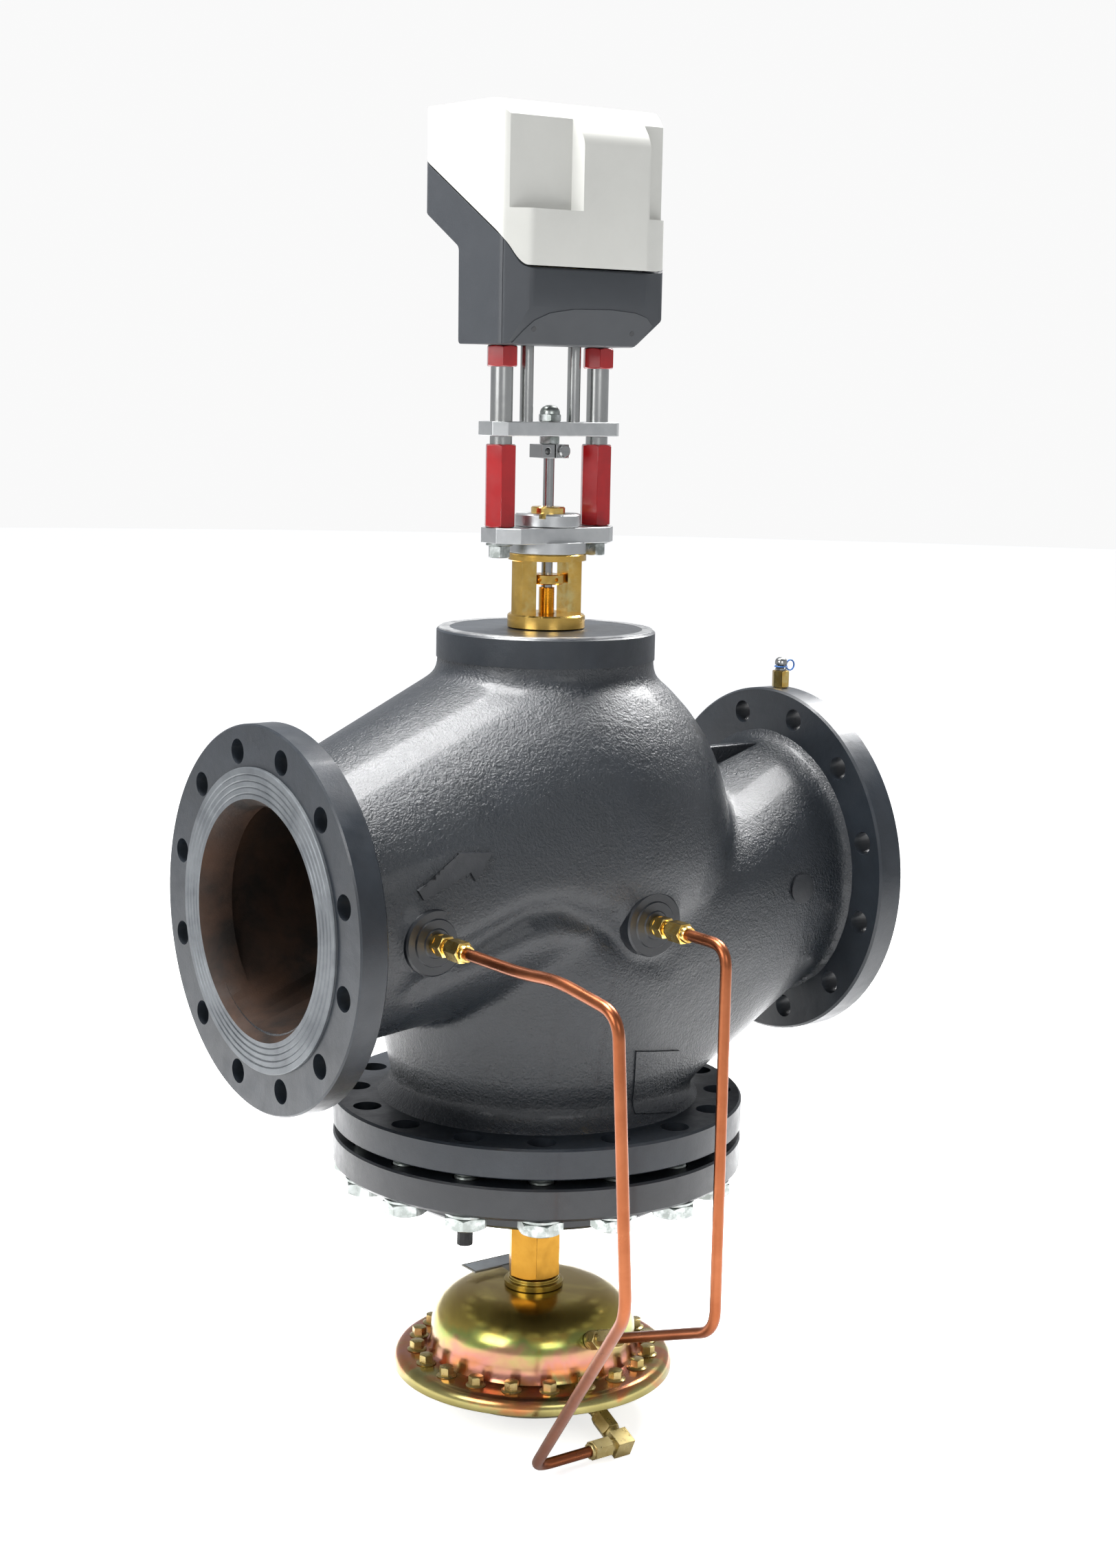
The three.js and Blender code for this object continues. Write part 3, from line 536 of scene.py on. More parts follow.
def laid_on_casting(outline, lift):
    """A raised mark over an outline of [x, z] points, laid on the front of the casting."""
    bm = bmesh.new()
    bm.faces.new([bm.verts.new((x, 0, z)) for x, z in outline])
    bmesh.ops.triangulate(bm, faces=bm.faces)
    for axis, normal in enumerate((Vector((1, 0, 0)), Vector((0, 0, 1)))):
        values = [point[axis] for point in outline]
        for i in range(1, math.ceil((max(values) - min(values)) / MARK_GRID)):
            bmesh.ops.bisect_plane(bm, geom=bm.verts[:] + bm.edges[:] + bm.faces[:], plane_no=normal,
                                   plane_co=normal * (min(values) + i * MARK_GRID))
    raised = bmesh.ops.extrude_face_region(bm, geom=bm.faces[:])["geom"]
    tops = {v for v in raised if isinstance(v, bmesh.types.BMVert)}
    for v in bm.verts:
        hit = casting_skin.ray_cast(Vector((v.co.x, -400, v.co.z)), Vector((0, 1, 0)))[0]
        v.co.y = hit.y - lift if v in tops else hit.y + 2
    bmesh.ops.recalc_face_normals(bm, faces=bm.faces)
    return bm


def turned_outline(points, angle, x, z):
    """The outline turned by degrees and moved."""
    c, s = math.cos(math.radians(angle)), math.sin(math.radians(angle))
    return [(x + c * a - s * b, z + s * a + c * b) for a, b in points]


ARROW = [(-36, -4.5), (11, -4.5), (11, -13), (36, 0), (11, 13), (11, 4.5), (-36, 4.5)]
arrow = laid_on_casting(turned_outline(ARROW, 26, -185.5, 54), 3.8)
piece("flow_arrow", arrow, dark_paint, "valve_body", rounding=0.3)
disc = [(15 * math.cos(math.tau * i / 32), 13.5 * math.sin(math.tau * i / 32)) for i in range(32)]
piece("neck_disc", laid_on_casting(turned_outline(disc, 0, 205.5, -0.4), 2.2), dark_paint,
      "valve_body", rounding=0.5)
BLANK_PAD = [(1, -124), (59, -134), (62, -192), (8, -184)]
piece("blank_pad", laid_on_casting(BLANK_PAD, 1.6), cast_paint, "valve_body", rounding=0.4)
web = prism([(140, -20), (262, 20), (272, 60), (272, 118), (150, 118)], -6, 6)
piece("outlet_web", moved(web, turn=90, about="X"), cast_paint, "valve_body", rounding=2)

# ---- Seat, plug and stem ----
# Stainless trim inside the body: a seat ring in the wall between the chambers, a ported plug over it, and the
# bright stem that runs up through the gland to the coupling.
steel = finish("stainless steel", 0xa9aaa8, 0x9d9e9e, 14, (0.19, 0.25), 120, 1500, 0.6, 0.012, metallic=1.0)


def dress(material, slot, *nodes):
    """Gives CAD nodes that stay a material of their own."""
    for node in nodes:
        carried = frame["nodes"][node]
        carried.data.materials.clear()
        carried.data.materials.append(material)


dress(steel, "steel", "seat_ring", "control_plug")
stem_low, stem_high = box_of("valve_stem")
stem = spun([(0, stem_low.z), (5, stem_low.z), (5, stem_high.z - 1), (4, stem_high.z), (0, stem_high.z)], 32)
piece("stem", stem, steel, "valve_stem")

# ---- Yoke ----
# A turned brass yoke screwed into the boss, with milled flats at its waist and a window for the setting nut,
# which stands on the threaded gland.
brass = finish("brass", 0xedc46c, 0xddb158, 30, (0.12, 0.26), 140, 1200, 0.5, 0.04, metallic=1.0,
               worn=0xf0d890)
YOKE = {"radius": 35.5, "bottom": 241.3, "window": 254, "window_top": 303, "top": 309, "flat": 8.6,
        "slot": 17.5, "bore": 8}
outer, edge = YOKE["radius"], YOKE["radius"] - 0.8
window = (YOKE["window"], YOKE["window_top"])
yoke = spun([(0, YOKE["bottom"]), (edge, YOKE["bottom"]), (outer, YOKE["bottom"] + 0.8),
             (outer, window[0] - 1.5), (34, window[0]), (34, window[1] - 1), (outer, window[1]),
             (outer, YOKE["top"] - 0.8), (edge, YOKE["top"]), (0, YOKE["top"])], 96)
flats = with_parts(block((-40, 40), (-40, -YOKE["flat"]), window),
                   block((-40, 40), (YOKE["flat"], 40), window))
yoke = cut(yoke, block((-YOKE["slot"], YOKE["slot"]), (-40, 40), window), flats, bar(YOKE["bore"], 230, 320))
piece("yoke_waist", yoke, brass, "yoke", rounding=0.5)


def threaded(radius, bottom, top, pitch=1.5, steps=40):
    """A threaded bar: a row of ridges."""
    profile = [(0, bottom), (radius - 0.9, bottom)]
    turns = int((top - bottom) / pitch)
    for i in range(turns):
        profile += [(radius, bottom + (i + 0.5) * pitch), (radius - 0.9, bottom + (i + 1) * pitch)]
    return spun(profile + [(0, bottom + turns * pitch)], steps)


gland = with_parts(spun([(5.4, 196), (15, 196), (15, 240.9), (5.4, 240.9)], 40), threaded(7.5, 240.5, 279))
piece("stem_gland_thread", gland, brass, "stem_gland")
nut_low, nut_high = box_of("setting_nut")
nut = spun([(5.4, nut_low.z), (14.7, nut_low.z), (15.5, nut_low.z + 0.8), (15.5, nut_high.z - 0.8),
            (14.7, nut_high.z), (5.4, nut_high.z)], 64)
pin_holes = ringed(lambda: moved(bar(1.8, -3, 5, 16), turn=90, about="Y"), 6, 14, 90)
nut = cut(nut, moved(pin_holes, z=(nut_low.z + nut_high.z) / 2))
piece("setting_ring", nut, brass, "setting_nut")

# ---- Yoke plate ----
# A satin aluminium plate lies across the yoke. A slotted ring nut clamps it over a brass guide collar, and
# two plated bolts hold the pillars from below.
aluminium = finish("satin aluminium", 0xb9bbbb, 0xacaeaf, 24, (0.3, 0.4), 220, 1600, 0.6, 0.05, metallic=0.9,
                   worn=0xe8e8e6)
zinc = finish("zinc plating", 0x959b97, 0x868c88, 40, (0.26, 0.4), 160, 900, 0.5, 0.04, metallic=0.95,
              worn=0xc8cccb)
PLATE = {"length": 130, "width": 56, "chamfer": 16, "bottom": 319, "top": 333}
PILLAR_X = 53
ROD_X = 26


def chamfered_bar(length, width, chamfer, bottom, top):
    """A flat bar with its four upright corners cut off."""
    x, y = length / 2, width / 2
    quarter = [(x, y - chamfer), (x - chamfer, y)]
    half = quarter + [(-a, b) for a, b in reversed(quarter)]
    return prism(half + [(-a, -b) for a, b in half], bottom, top)


def chamfered_hexagon(flats, bottom, top):
    """A hexagon bar or nut with turned corners at both ends."""
    corner, turned_face = flats / math.sqrt(3), flats * 0.475
    drop = (corner - turned_face) * 0.55
    angles = [math.tau * i / 6 for i in range(6)]
    hexagon = prism([(corner * math.cos(a), corner * math.sin(a)) for a in angles], bottom, top)
    outside = corner + 0.1
    turned = spun([(0, bottom), (turned_face, bottom), (outside, bottom + drop), (outside, top - drop),
                   (turned_face, top), (0, top)], 48)
    return combined(hexagon, turned, "INTERSECT")


plate = chamfered_bar(PLATE["length"], PLATE["width"], PLATE["chamfer"], PLATE["bottom"], PLATE["top"])
plate = with_parts(plate, bar(35, YOKE["top"] + 0.3, PLATE["bottom"] + 1, 72))
piece("bridge_plate", plate, aluminium, "yoke_plate", rounding=0.7)
ring_nut = spun([(15.8, 333.3), (29.3, 333.3), (30, 334), (30, 343.5), (28.5, 345), (15.8, 345)], 72)
slots = with_parts(moved(block((-40, 40), (-3, 3), (341, 350)), turn=45),
                   moved(block((-40, 40), (-3, 3), (341.1, 350.1)), turn=-45))
piece("slotted_nut", cut(ring_nut, slots), aluminium, "ring_nut", rounding=0.4)
collar = spun([(5.4, 309.3), (15.5, 309.3), (15.5, 350), (14.5, 351), (7, 351), (5.4, 349.5)], 64)
piece("stem_guide", collar, brass, "guide_collar")
for side, name in ((-1, "left"), (1, "right")):
    bolt = with_parts(chamfered_hexagon(18, 306, 317),
                      spun([(0, 316.8), (11.6, 316.8), (12, 317.2), (12, 318.7), (0, 318.7)], 48))
    piece("pillar_bolt_" + name, moved(bolt, x=side * PILLAR_X), zinc, "plate_bolt_" + name)

# ---- Pillars and sleeves ----
# Two turned stainless pillars carry the actuator. Long red hexagon sleeves grip them from the plate up to the
# crossbar, and short red collars sit under the actuator. The sleeves are glossy moulded plastic.
red_plastic = finish("glossy red plastic", 0x94090e, 0x86070b, 30, (0.14, 0.26), 120, 700, 0.3, 0.06,
                     coat=0.4)
for side, name in ((-1, "left"), (1, "right")):
    x = side * PILLAR_X
    low, high = box_of("pillar_" + name)
    pillar = spun([(0, low.z), (10, low.z), (10, high.z - 1.5), (8.5, high.z), (0, high.z)], 64)
    piece("steel_pillar_" + name, moved(pillar, x=x), steel, "pillar_" + name)
    for kind in ("sleeve_", "collar_"):
        low, high = box_of(kind + name)
        grip = cut(chamfered_hexagon(26, low.z, high.z), bar(10.3, low.z - 5, high.z + 5, 64))
        piece("red_" + kind + name, moved(grip, x=x), red_plastic, kind + name, rounding=0.5)
    low, high = box_of("rod_" + name)
    thrust = spun([(0, low.z), (5.3, low.z), (6, low.z + 0.7), (6, high.z), (0, high.z)], 40)
    piece("thrust_rod_" + name, moved(thrust, x=side * ROD_X), steel, "rod_" + name)

# ---- Traverse ----
# The actuator lifts and lowers a satin aluminium crossbar on the pillars. A dome nut and a lock nut hold it
# to the coupling clamp that grips the valve stem.
BAR = {"length": 140, "width": 42, "chamfer": 10, "bottom": 414.5, "top": 427}
crossbar = chamfered_bar(BAR["length"], BAR["width"], BAR["chamfer"], BAR["bottom"], BAR["top"])
pillar_holes = with_parts(*[moved(bar(10.5, 400, 440), x=side * PILLAR_X) for side in (-1, 1)])
piece("lifting_bar", cut(crossbar, pillar_holes), aluminium, "crossbar", rounding=0.7)
dome = spun([(0, 433), (9, 433), (9, 436), (8.2, 438.3), (6.4, 440.2), (3.5, 441.6), (0, 442)], 48)
dome = with_parts(chamfered_hexagon(19, 427.3, 434), dome)
piece("capped_nut", dome, zinc, "dome_nut")
piece("thin_nut", chamfered_hexagon(17, 407.3, 414.2), zinc, "lock_nut")
CLAMP_Z, SCREW_X = 401, 9
clamp = cut(block((-15, 15), (-10, 10), (394.6, 407)),
            moved(bar(3, -20, 20, 32), x=-8.5, z=CLAMP_Z, turn=90, about="X"),
            moved(bar(4.3, -20, 20, 32), x=SCREW_X, z=CLAMP_Z, turn=90, about="X"),
            block((-0.6, 0.6), (-11, -4), (390, 410)))
piece("stem_clamp", clamp, steel, "coupling_clamp", rounding=0.8)
screw = spun([(0, -9), (4, -9), (4, 10.3), (6, 10.3), (6, 11.8), (4.8, 13), (0, 13)], 40)
screw = cut(screw, block((-8, 8), (-0.8, 0.8), (11.8, 14)))
screw = moved(screw, x=SCREW_X, z=CLAMP_Z, turn=90, about="X")
piece("clamp_screw", screw, steel, "coupling_screw")

# ---- Actuator ----
# A moulded housing has a textured grey base, split by an upright seam, and an off-white cover that meets it
# along a climbing line. The cover is stepped back on both sides of its front.
grey_plastic = finish("grey moulded plastic", 0x33363a, 0x303337, 20, (0.42, 0.52), 500, 2200, 0.6, 0.15)
white_plastic = finish("off-white plastic", 0xb9b9b4, 0xb5b5b0, 12, (0.36, 0.46), 400, 2000, 0.5, 0.06)
SEAM = -47
PARTING = [(-62, 558), (-56, 561), (SEAM, 584), (82, 658)]


def side_slab(outline, left, right):
    """An outline of [y, z] points pushed from left to right."""
    return moved(moved(prism(outline, left, right), turn=90, about="X"), turn=90)


def plan_outline(inset):
    """The housing seen from above, or its inside where inset is the wall."""
    left, right, front, back = -88 + inset, 82 - inset, -61 + inset, 81 - inset
    return [(left, -46 + inset), (-66, front), (61, front), (right, -57 + inset), (right, back - 8),
            (right - 8, back), (left + 8, back), (left, back - 8)]


def rounded(outline, radius, steps=5):
    """An outline of points with its corners rounded off."""
    points = []
    for i, point in enumerate(outline):
        corner, before, after = Vector(point), Vector(outline[i - 1]), Vector(outline[(i + 1) % len(outline)])
        entry = corner + (before - corner).normalized() * min(radius, (before - corner).length * 0.49)
        leave = corner + (after - corner).normalized() * min(radius, (after - corner).length * 0.49)
        for step in range(steps + 1):
            t = step / steps
            points.append(entry.lerp(corner, t).lerp(corner.lerp(leave, t), t)[:])
    return points


right_chamfer = moved(prism([(55, -30), (90, -30), (90, 1), (86, 1)], -90, 90), z=524, turn=90, about="X")
lower_side = [(-50, 494), (18, 494), (19, 578), (81, 614)] + PARTING[::-1] + [(-62, 530)]
plan = prism(rounded(plan_outline(0), 5), 480, 720)
base = combined(side_slab(rounded(lower_side, 4), -90, 90), plan.copy(), "INTERSECT")
base = cut(base, right_chamfer.copy())
room = [(-45, 497), (15, 497), (16, 580), (78, 616), (78, 670), (-59, 600), (-59, 534)]
inside = combined(side_slab(room, -91, 91), prism(plan_outline(3), 480, 720), "INTERSECT")
base = cut(base, cut(inside, moved(right_chamfer, x=-3, z=3)))
base = cut(base, with_parts(*[moved(bar(radius, 480, 510), x=x) for x, radius in
                              ((-PILLAR_X, 10.3), (PILLAR_X, 10.3), (-ROD_X, 7), (ROD_X, 7))]))
front = combined(base.copy(), block((-200, 200), (-100, SEAM - 0.2), (400, 800)), "INTERSECT")
rear = combined(base, block((-200, 200), (SEAM + 0.2, 200), (400, 800)), "INTERSECT")
piece("actuator_front", front, grey_plastic, "actuator_front_shell", rounding=1.2)
# An arched pad lies on the sloping lower front, with two screws in it.
SLOPE = math.degrees(math.atan2(12, 36))
ARCH = [(-78, 1), (-69, 12), (-59, 22), (-44, 29), (-20, 33), (20, 34), (48, 32), (62, 28), (70, 21), (55, 1)]


def on_slope(bm):
    """The shape laid on the sloping lower front."""
    return moved(bm, y=-50, z=494, turn=90 + SLOPE, about="X")


arched_pad = on_slope(prism(ARCH, -2, 0.8))
piece("front_pad", arched_pad, grey_plastic, "actuator_front_shell", rounding=0.4)
screws = with_parts(*[moved(bar(2.4, -2, 1, 24), x=x, y=y) for x, y in ((-58, 14), (49, 13))])
piece("front_screws", on_slope(screws), dark_paint, "actuator_front_shell")
piece("actuator_rear", rear, grey_plastic, "actuator_rear_shell", rounding=1.2)

upper_side = [(y, z + 1.8) for y, z in PARTING] + [(81, 701), (-40, 701), (-61, 672)]
cover = combined(side_slab(rounded(upper_side, 9), -90, 90), plan, "INTERSECT")
cover = cut(cover, prism([(-11, -62), (-17, -50), (-100, -50), (-100, -62)], 609, 720),
            prism([(61, -62), (61, -50), (100, -50), (100, -62)], 606, 720))
cover_room = [(-47, 570), (79, 640), (78, 698), (-40, 698), (-47, 690)]
cover_room = combined(side_slab(cover_room, -91, 91), prism(plan_outline(3), 480, 720), "INTERSECT")
cover = cut(cover, combined(cover_room, block((-60, 58), (-58, -46), (540, 604)), "UNION"))
piece("actuator_hood", cover, white_plastic, "actuator_cover", rounding=2)

# ---- Drive inside the actuator ----
# A folded plated frame holds the motor, its pinion and the large gear on the lead screw, whose nut lifts the
# thrust rods. A small circuit board stands at the side.
board = finish("circuit board", 0x23603a, 0x1b4a2d, 200, (0.3, 0.5), 300, 1500, 0.5, 0.06)
dress(zinc, "zinc", "gear_frame", "motor")
dress(steel, "steel", "lead_screw")
dress(brass, "brass", "drive_nut", "motor_pinion")
dress(white_plastic, "white_plastic", "drive_gear")
dress(board, "board", "circuit_board")

# ---- Bottom cover ----
# A heavy turned cover, painted nearly black, closes the lower chamber on a gasket. Sixteen plated hexagon
# bolts pass up through it, their shanks showing in the gap below the body flange.
rubber = finish("rubber", 0x1b1b1b, 0x111111, 60, (0.6, 0.8), 200, 900, 0.5, 0.08)
rim = COVER_FLANGE["radius"]
cover_plate = spun([(16.4, -288), (132, -288), (135, -285), (135, -264), (139, -260), (rim - 3, -260),
                    (rim, -257), (rim, -232), (rim - 1.5, -230), (150, -230), (150, -223.8), (16.4, -223.8)],
                   144)
cover_holes = at_cover_bolts(lambda: bar(COVER_FLANGE["hole"], -270, -225, 32))
piece("cover_plate", cut(cover_plate, cover_holes), dark_paint, "bottom_cover")
dress(rubber, "rubber", "cover_gasket", "drain_plug")
dress(brass, "brass", "guide_bush")


def cover_bolt():
    """A hexagon bolt with its washer, head down."""
    head = chamfered_hexagon(36, -275.5, -263.5)
    washer = spun([(0, -263.7), (18.5, -263.7), (19.5, -263), (19.5, -261), (19, -260.5), (0, -260.5)],
                  32)
    return moved(with_parts(head, washer, threaded(11.5, -261, -205, 3, 20)), turn=15)


piece("cover_bolt_set", at_cover_bolts(cover_bolt), zinc, "cover_bolts")

# ---- Diaphragm case ----
# Two pressed steel shells with a yellow chromate finish that shines gold, pink and green, bolted together
# round the diaphragm by twenty flanged screws. A brass union hangs it from the cover.
chromate = finish("yellow chromate", 0xb3a06a, 0xa89a62, 40, (0.17, 0.27), 60, 900, 0.3, 0.05, metallic=0.97)
# The film's colour changes between two heights in metres, with clouds in it, in place of the plain colours.
FILM_LOW, FILM_HIGH = -0.466, -0.387
tree = chromate.node_tree
height = add_node(tree, "SeparateXYZ", Vector=add_node(tree, "TexCoord").outputs["Object"]).outputs["Z"]
clouds = spread(tree, noise_of(tree, 13, 3, 0.55, 1.5), 0.3, 0.7, -0.16, 0.16)
level = add_node(tree, "Math", {"operation": "ADD"})
tree.links.new(spread(tree, height, FILM_LOW, FILM_HIGH), level.inputs[0])
tree.links.new(clouds, level.inputs[1])
film = add_node(tree, "ValToRGB", Fac=level.outputs[0])
film.color_ramp.elements[0].color = rgb(0x948a55)
film.color_ramp.elements[1].color = rgb(0x9d8542)
for position, tint in ((0.13, 0x9f9560), (0.22, 0xb57448), (0.34, 0xae7668), (0.5, 0xa98a62),
                       (0.62, 0x8f9a55), (0.78, 0xb39f50)):
    stop = film.color_ramp.elements.new(position)
    stop.color = rgb(tint)
shader = tree.nodes["Principled BSDF"]
tree.links.new(film.outputs["Color"], shader.inputs["Base Color"])
gold_plating = finish("gold plating", 0xc2b07c, 0xa8945c, 60, (0.24, 0.36), 120, 900, 0.4, 0.04, metallic=0.9)

upper = spun([(9, -389.8), (58, -391.5), (76, -398), (89, -410), (94.5, -424), (95.5, -449), (98, -452.5),
              (121, -452.5), (125.5, -453.2), (128.6, -455.3), (130.4, -459), (130.5, -464), (131, -464.6),
              (132.5, -464.6), (133, -464), (133, -459.5), (132.3, -455.8), (130.3, -452.6), (127.2, -450.4),
              (123, -449.5), (105, -449.5), (100.5, -448.5), (98.3, -445), (97.6, -435), (97, -423),
              (95, -415), (91.5, -408.5), (85.5, -401), (78, -395.5), (69.5, -391.3), (60, -389), (50, -387.9),
              (9, -387.3)], 144)
piece("upper_shell", upper, chromate, "upper_case")
lower = spun([(0, -489.5), (60, -489.5), (77, -487), (91, -478.5), (95.5, -468), (95.5, -457.5), (99, -455),
              (127, -455), (127, -457.5), (102, -457.5), (99, -458.7), (98, -461), (98, -469),
              (96.6, -475), (93.5, -480.5), (87, -486.2), (79, -489.5), (70, -491.5), (60, -492), (0, -492)],
             144)
piece("lower_shell", lower, chromate, "lower_case")


def case_bolt():
    """A small flanged screw with its washer."""
    washer = spun([(0, -449.3), (9.2, -449.3), (9.4, -448.6), (7.4, -447.4), (0, -447.4)], 32)
    return with_parts(chamfered_hexagon(12, -448, -440.2), washer)


piece("case_bolt_set", ringed(case_bolt, 20, 111, 9), gold_plating, "case_bolts")
dress(rubber, "rubber", "diaphragm")
dress(zinc, "zinc", "diaphragm_plate")
dress(steel, "steel", "pressure_cone", "pressure_stem")

# The control spring is a coil of round wire.
SPRING = {"radius": 38, "wire": 2.8, "bottom": -445, "top": -391.5, "turns": 5, "steps": 180}
spring_length = SPRING["top"] - SPRING["bottom"]
climb = (spring_length - 2 * SPRING["wire"]) / SPRING["steps"]
coil = bmesh.new()
bmesh.ops.create_circle(coil, radius=SPRING["wire"], segments=14, matrix=Matrix.Translation(
    (SPRING["radius"], 0, SPRING["bottom"] + SPRING["wire"])) @ Matrix.Rotation(math.pi / 2, 4, "X"))
bmesh.ops.spin(coil, geom=coil.verts[:] + coil.edges[:], axis=(0, 0, 1), dvec=(0, 0, climb),
               angle=math.tau * SPRING["turns"], steps=SPRING["steps"])
bmesh.ops.holes_fill(coil, edges=coil.edges[:])
bmesh.ops.recalc_face_normals(coil, faces=coil.faces)
spring = piece("spring_coil", coil, steel, "control_spring", sharp=60)
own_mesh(spring)

union = with_parts(bar(16, -289, -251, 48), bar(20, -301, -288.3, 64), chamfered_hexagon(46, -377, -300))
satin_brass = finish("satin brass", 0xb58634, 0xa97a2c, 40, (0.3, 0.45), 140, 1200, 0.5, 0.05, metallic=0.95)
piece("case_union_nut", union, satin_brass, "case_union", rounding=0.5)
gland_rings = spun([(8.3, -387), (28, -387), (28, -382), (24.5, -381.5), (24, -381), (24, -378),
                    (23.3, -377.3), (8.3, -377.3)], 72)
piece("gland_rings", gland_rings, chromate, "case_gland", rounding=0.3)

# The rating plate is a bent steel tab with an olive border round a blank grey field.
plate_border = finish("olive lacquer", 0x77756a, 0x6a685c, 40, (0.3, 0.45), 200, 900, 0.5, 0.04, metallic=0.2)
plate_field = finish("blank plate field", 0xb9c0c6, 0xa7aeb4, 50, (0.3, 0.42), 300, 1200, 0.5, 0.03,
                     metallic=0.1)
label = block((-38, 38), (44, 68), (-384, -382.6))
top_face = max(label.faces, key=lambda face: face.calc_center_median().z)
bmesh.ops.inset_region(label, faces=[top_face], thickness=3, depth=0)
top_face.material_index = 1
label = with_parts(label, block((-7, 7), (29, 46), (-384, -382.6)))
blank_label = piece("blank_label", label, plate_border, "rating_plate")
blank_label.data.materials.append(plate_field)

# ---- Impulse lines ----
# Bright copper tubes carry the pressure from two taps on the body to the case. Each end has a turned brass
# compression fitting: a hexagon on the tap and a union nut over the tube.
copper = finish("copper", 0x9a5d3e, 0x8c5033, 22, (0.26, 0.38), 60, 800, 0.3, 0.05, metallic=1.0)
TUBE = {"radius": 5, "bend": 20}
RISE, FALL = 21, 25
UPPER_PORT = Vector((0, -94.6, -412.6))
LOWER_PORT = Vector((0, -97.2, -475.6))
REACH = 48


def tap_fitting(place, turn=90):
    """A straight fitting that stands at a place, turned towards the front."""
    fitting = with_parts(bar(9, 0, 4), chamfered_hexagon(17, 3, 15), bar(6.8, 14, 22),
                         chamfered_hexagon(17, 21, 40),
                         spun([(5.2, 39), (7.5, 39), (7.5, 44), (6.8, 45), (5.2, 45)], 40))
    return moved(fitting, *place, turn=turn, about="X")


piece("left_tap_fitting", tap_fitting(LEFT_TAP), brass, "fitting_left")
piece("right_tap_fitting", tap_fitting(RIGHT_TAP), brass, "fitting_right")
piece("upper_port_fitting", tap_fitting(UPPER_PORT, 90 - RISE), gold_plating,
      "port_fitting_upper")

fall = math.radians(FALL)
ELBOW = LOWER_PORT + Vector((0, -math.cos(fall), -math.sin(fall))) * REACH
inlet = with_parts(bar(7, 0, 5), chamfered_hexagon(12, 3, 11), bar(6, 10, 14), chamfered_hexagon(17, 13, 34),
                   bar(7, 33, 40))
outlet = with_parts(bar(7, 8, 14), chamfered_hexagon(17, 13, 32),
                    spun([(5.2, 31), (7.5, 31), (7.5, 34.3), (6.8, 35), (5.2, 35)], 40))
elbow = with_parts(moved(inlet, *LOWER_PORT, turn=90 + FALL, about="X"),
                   moved(block((-9, 9), (-9, 9), (-9, 9)), *ELBOW, turn=FALL, about="X"),
                   moved(outlet, *ELBOW, turn=-90, about="Y"))
piece("lower_port_elbow", elbow, gold_plating, "port_elbow_lower", rounding=0.5)


def bent_tube(corners, radius, bend, steps=10):
    """A tube along straight runs with round bends."""
    corners = [Vector(corner) for corner in corners]
    path = [corners[0]]
    for before, corner, after in zip(corners, corners[1:], corners[2:]):
        entry = corner + (before - corner).normalized() * min(bend, (before - corner).length / 2)
        leave = corner + (after - corner).normalized() * min(bend, (after - corner).length / 2)
        for i in range(steps + 1):
            t = i / steps
            path.append(entry.lerp(corner, t).lerp(corner.lerp(leave, t), t))
    path.append(corners[-1])
    curve = bpy.data.curves.new("tube", "CURVE")
    curve.dimensions = "3D"
    curve.bevel_depth = radius
    curve.bevel_resolution = 6
    curve.use_fill_caps = True
    line = curve.splines.new("POLY")
    line.points.add(len(path) - 1)
    for point, place in zip(line.points, path):
        point.co = (*place, 1)
    holder = bpy.data.objects.new("tube", curve)
    bm = bmesh.new()
    bm.from_mesh(holder.to_mesh())
    bpy.data.objects.remove(holder)
    bpy.data.curves.remove(curve)
    bmesh.ops.remove_doubles(bm, verts=bm.verts, dist=1e-3)
    bmesh.ops.recalc_face_normals(bm, faces=bm.faces)
    return bm


# Each tube starts this far from the face that its fitting stands on.
SEATED = 30
left_route = [LEFT_TAP + Vector((0, -SEATED, 0)), (-205, -262, -3), (-204, -312, 1), (-203, -389, -9),
              (-191, -392, -250), (-96, ELBOW.y, ELBOW.z), (-19, ELBOW.y, ELBOW.z)]
left_tube = bent_tube(left_route, TUBE["radius"], TUBE["bend"])
piece("left_impulse_tube", left_tube, copper, "tube_left", sharp=60)

LEG = -271
slope = math.tan(math.radians(RISE))
port_end = UPPER_PORT.y - SEATED * math.cos(math.radians(RISE))
right_route = [RIGHT_TAP + Vector((0, -SEATED, 0)), (0, LEG, RIGHT_TAP.z),
               (0, LEG, UPPER_PORT.z + (UPPER_PORT.y - LEG) * slope),
               (0, port_end, UPPER_PORT.z + (UPPER_PORT.y - port_end) * slope)]
right_tube = bent_tube(right_route, TUBE["radius"], TUBE["bend"])
piece("right_impulse_tube", right_tube, copper, "tube_right", sharp=60)

# ---- Test point ----
# A turned brass test plug is screwed into the rim of the outlet flange. Its plated cap can't be lost, because
# a moulded blue plastic strap loops round both.
blue_plastic = finish("blue strap", 0x2463ad, 0x1b4f8e, 60, (0.35, 0.5), 200, 900, 0.5, 0.06)
test_plug = with_parts(bar(5, 156, 171), chamfered_hexagon(15, 170.5, 187))
piece("test_plug", moved(test_plug, x=RIM_X), brass, "test_point")
cap = spun([(0, 187.3), (5.5, 187.3), (5.5, 189), (4.2, 190), (4.2, 191.5), (6, 193), (6, 196), (5, 198.2),
            (3, 199.6), (0, 200)], 40)
piece("test_plug_cap", moved(cap, x=RIM_X), steel, "test_cap")


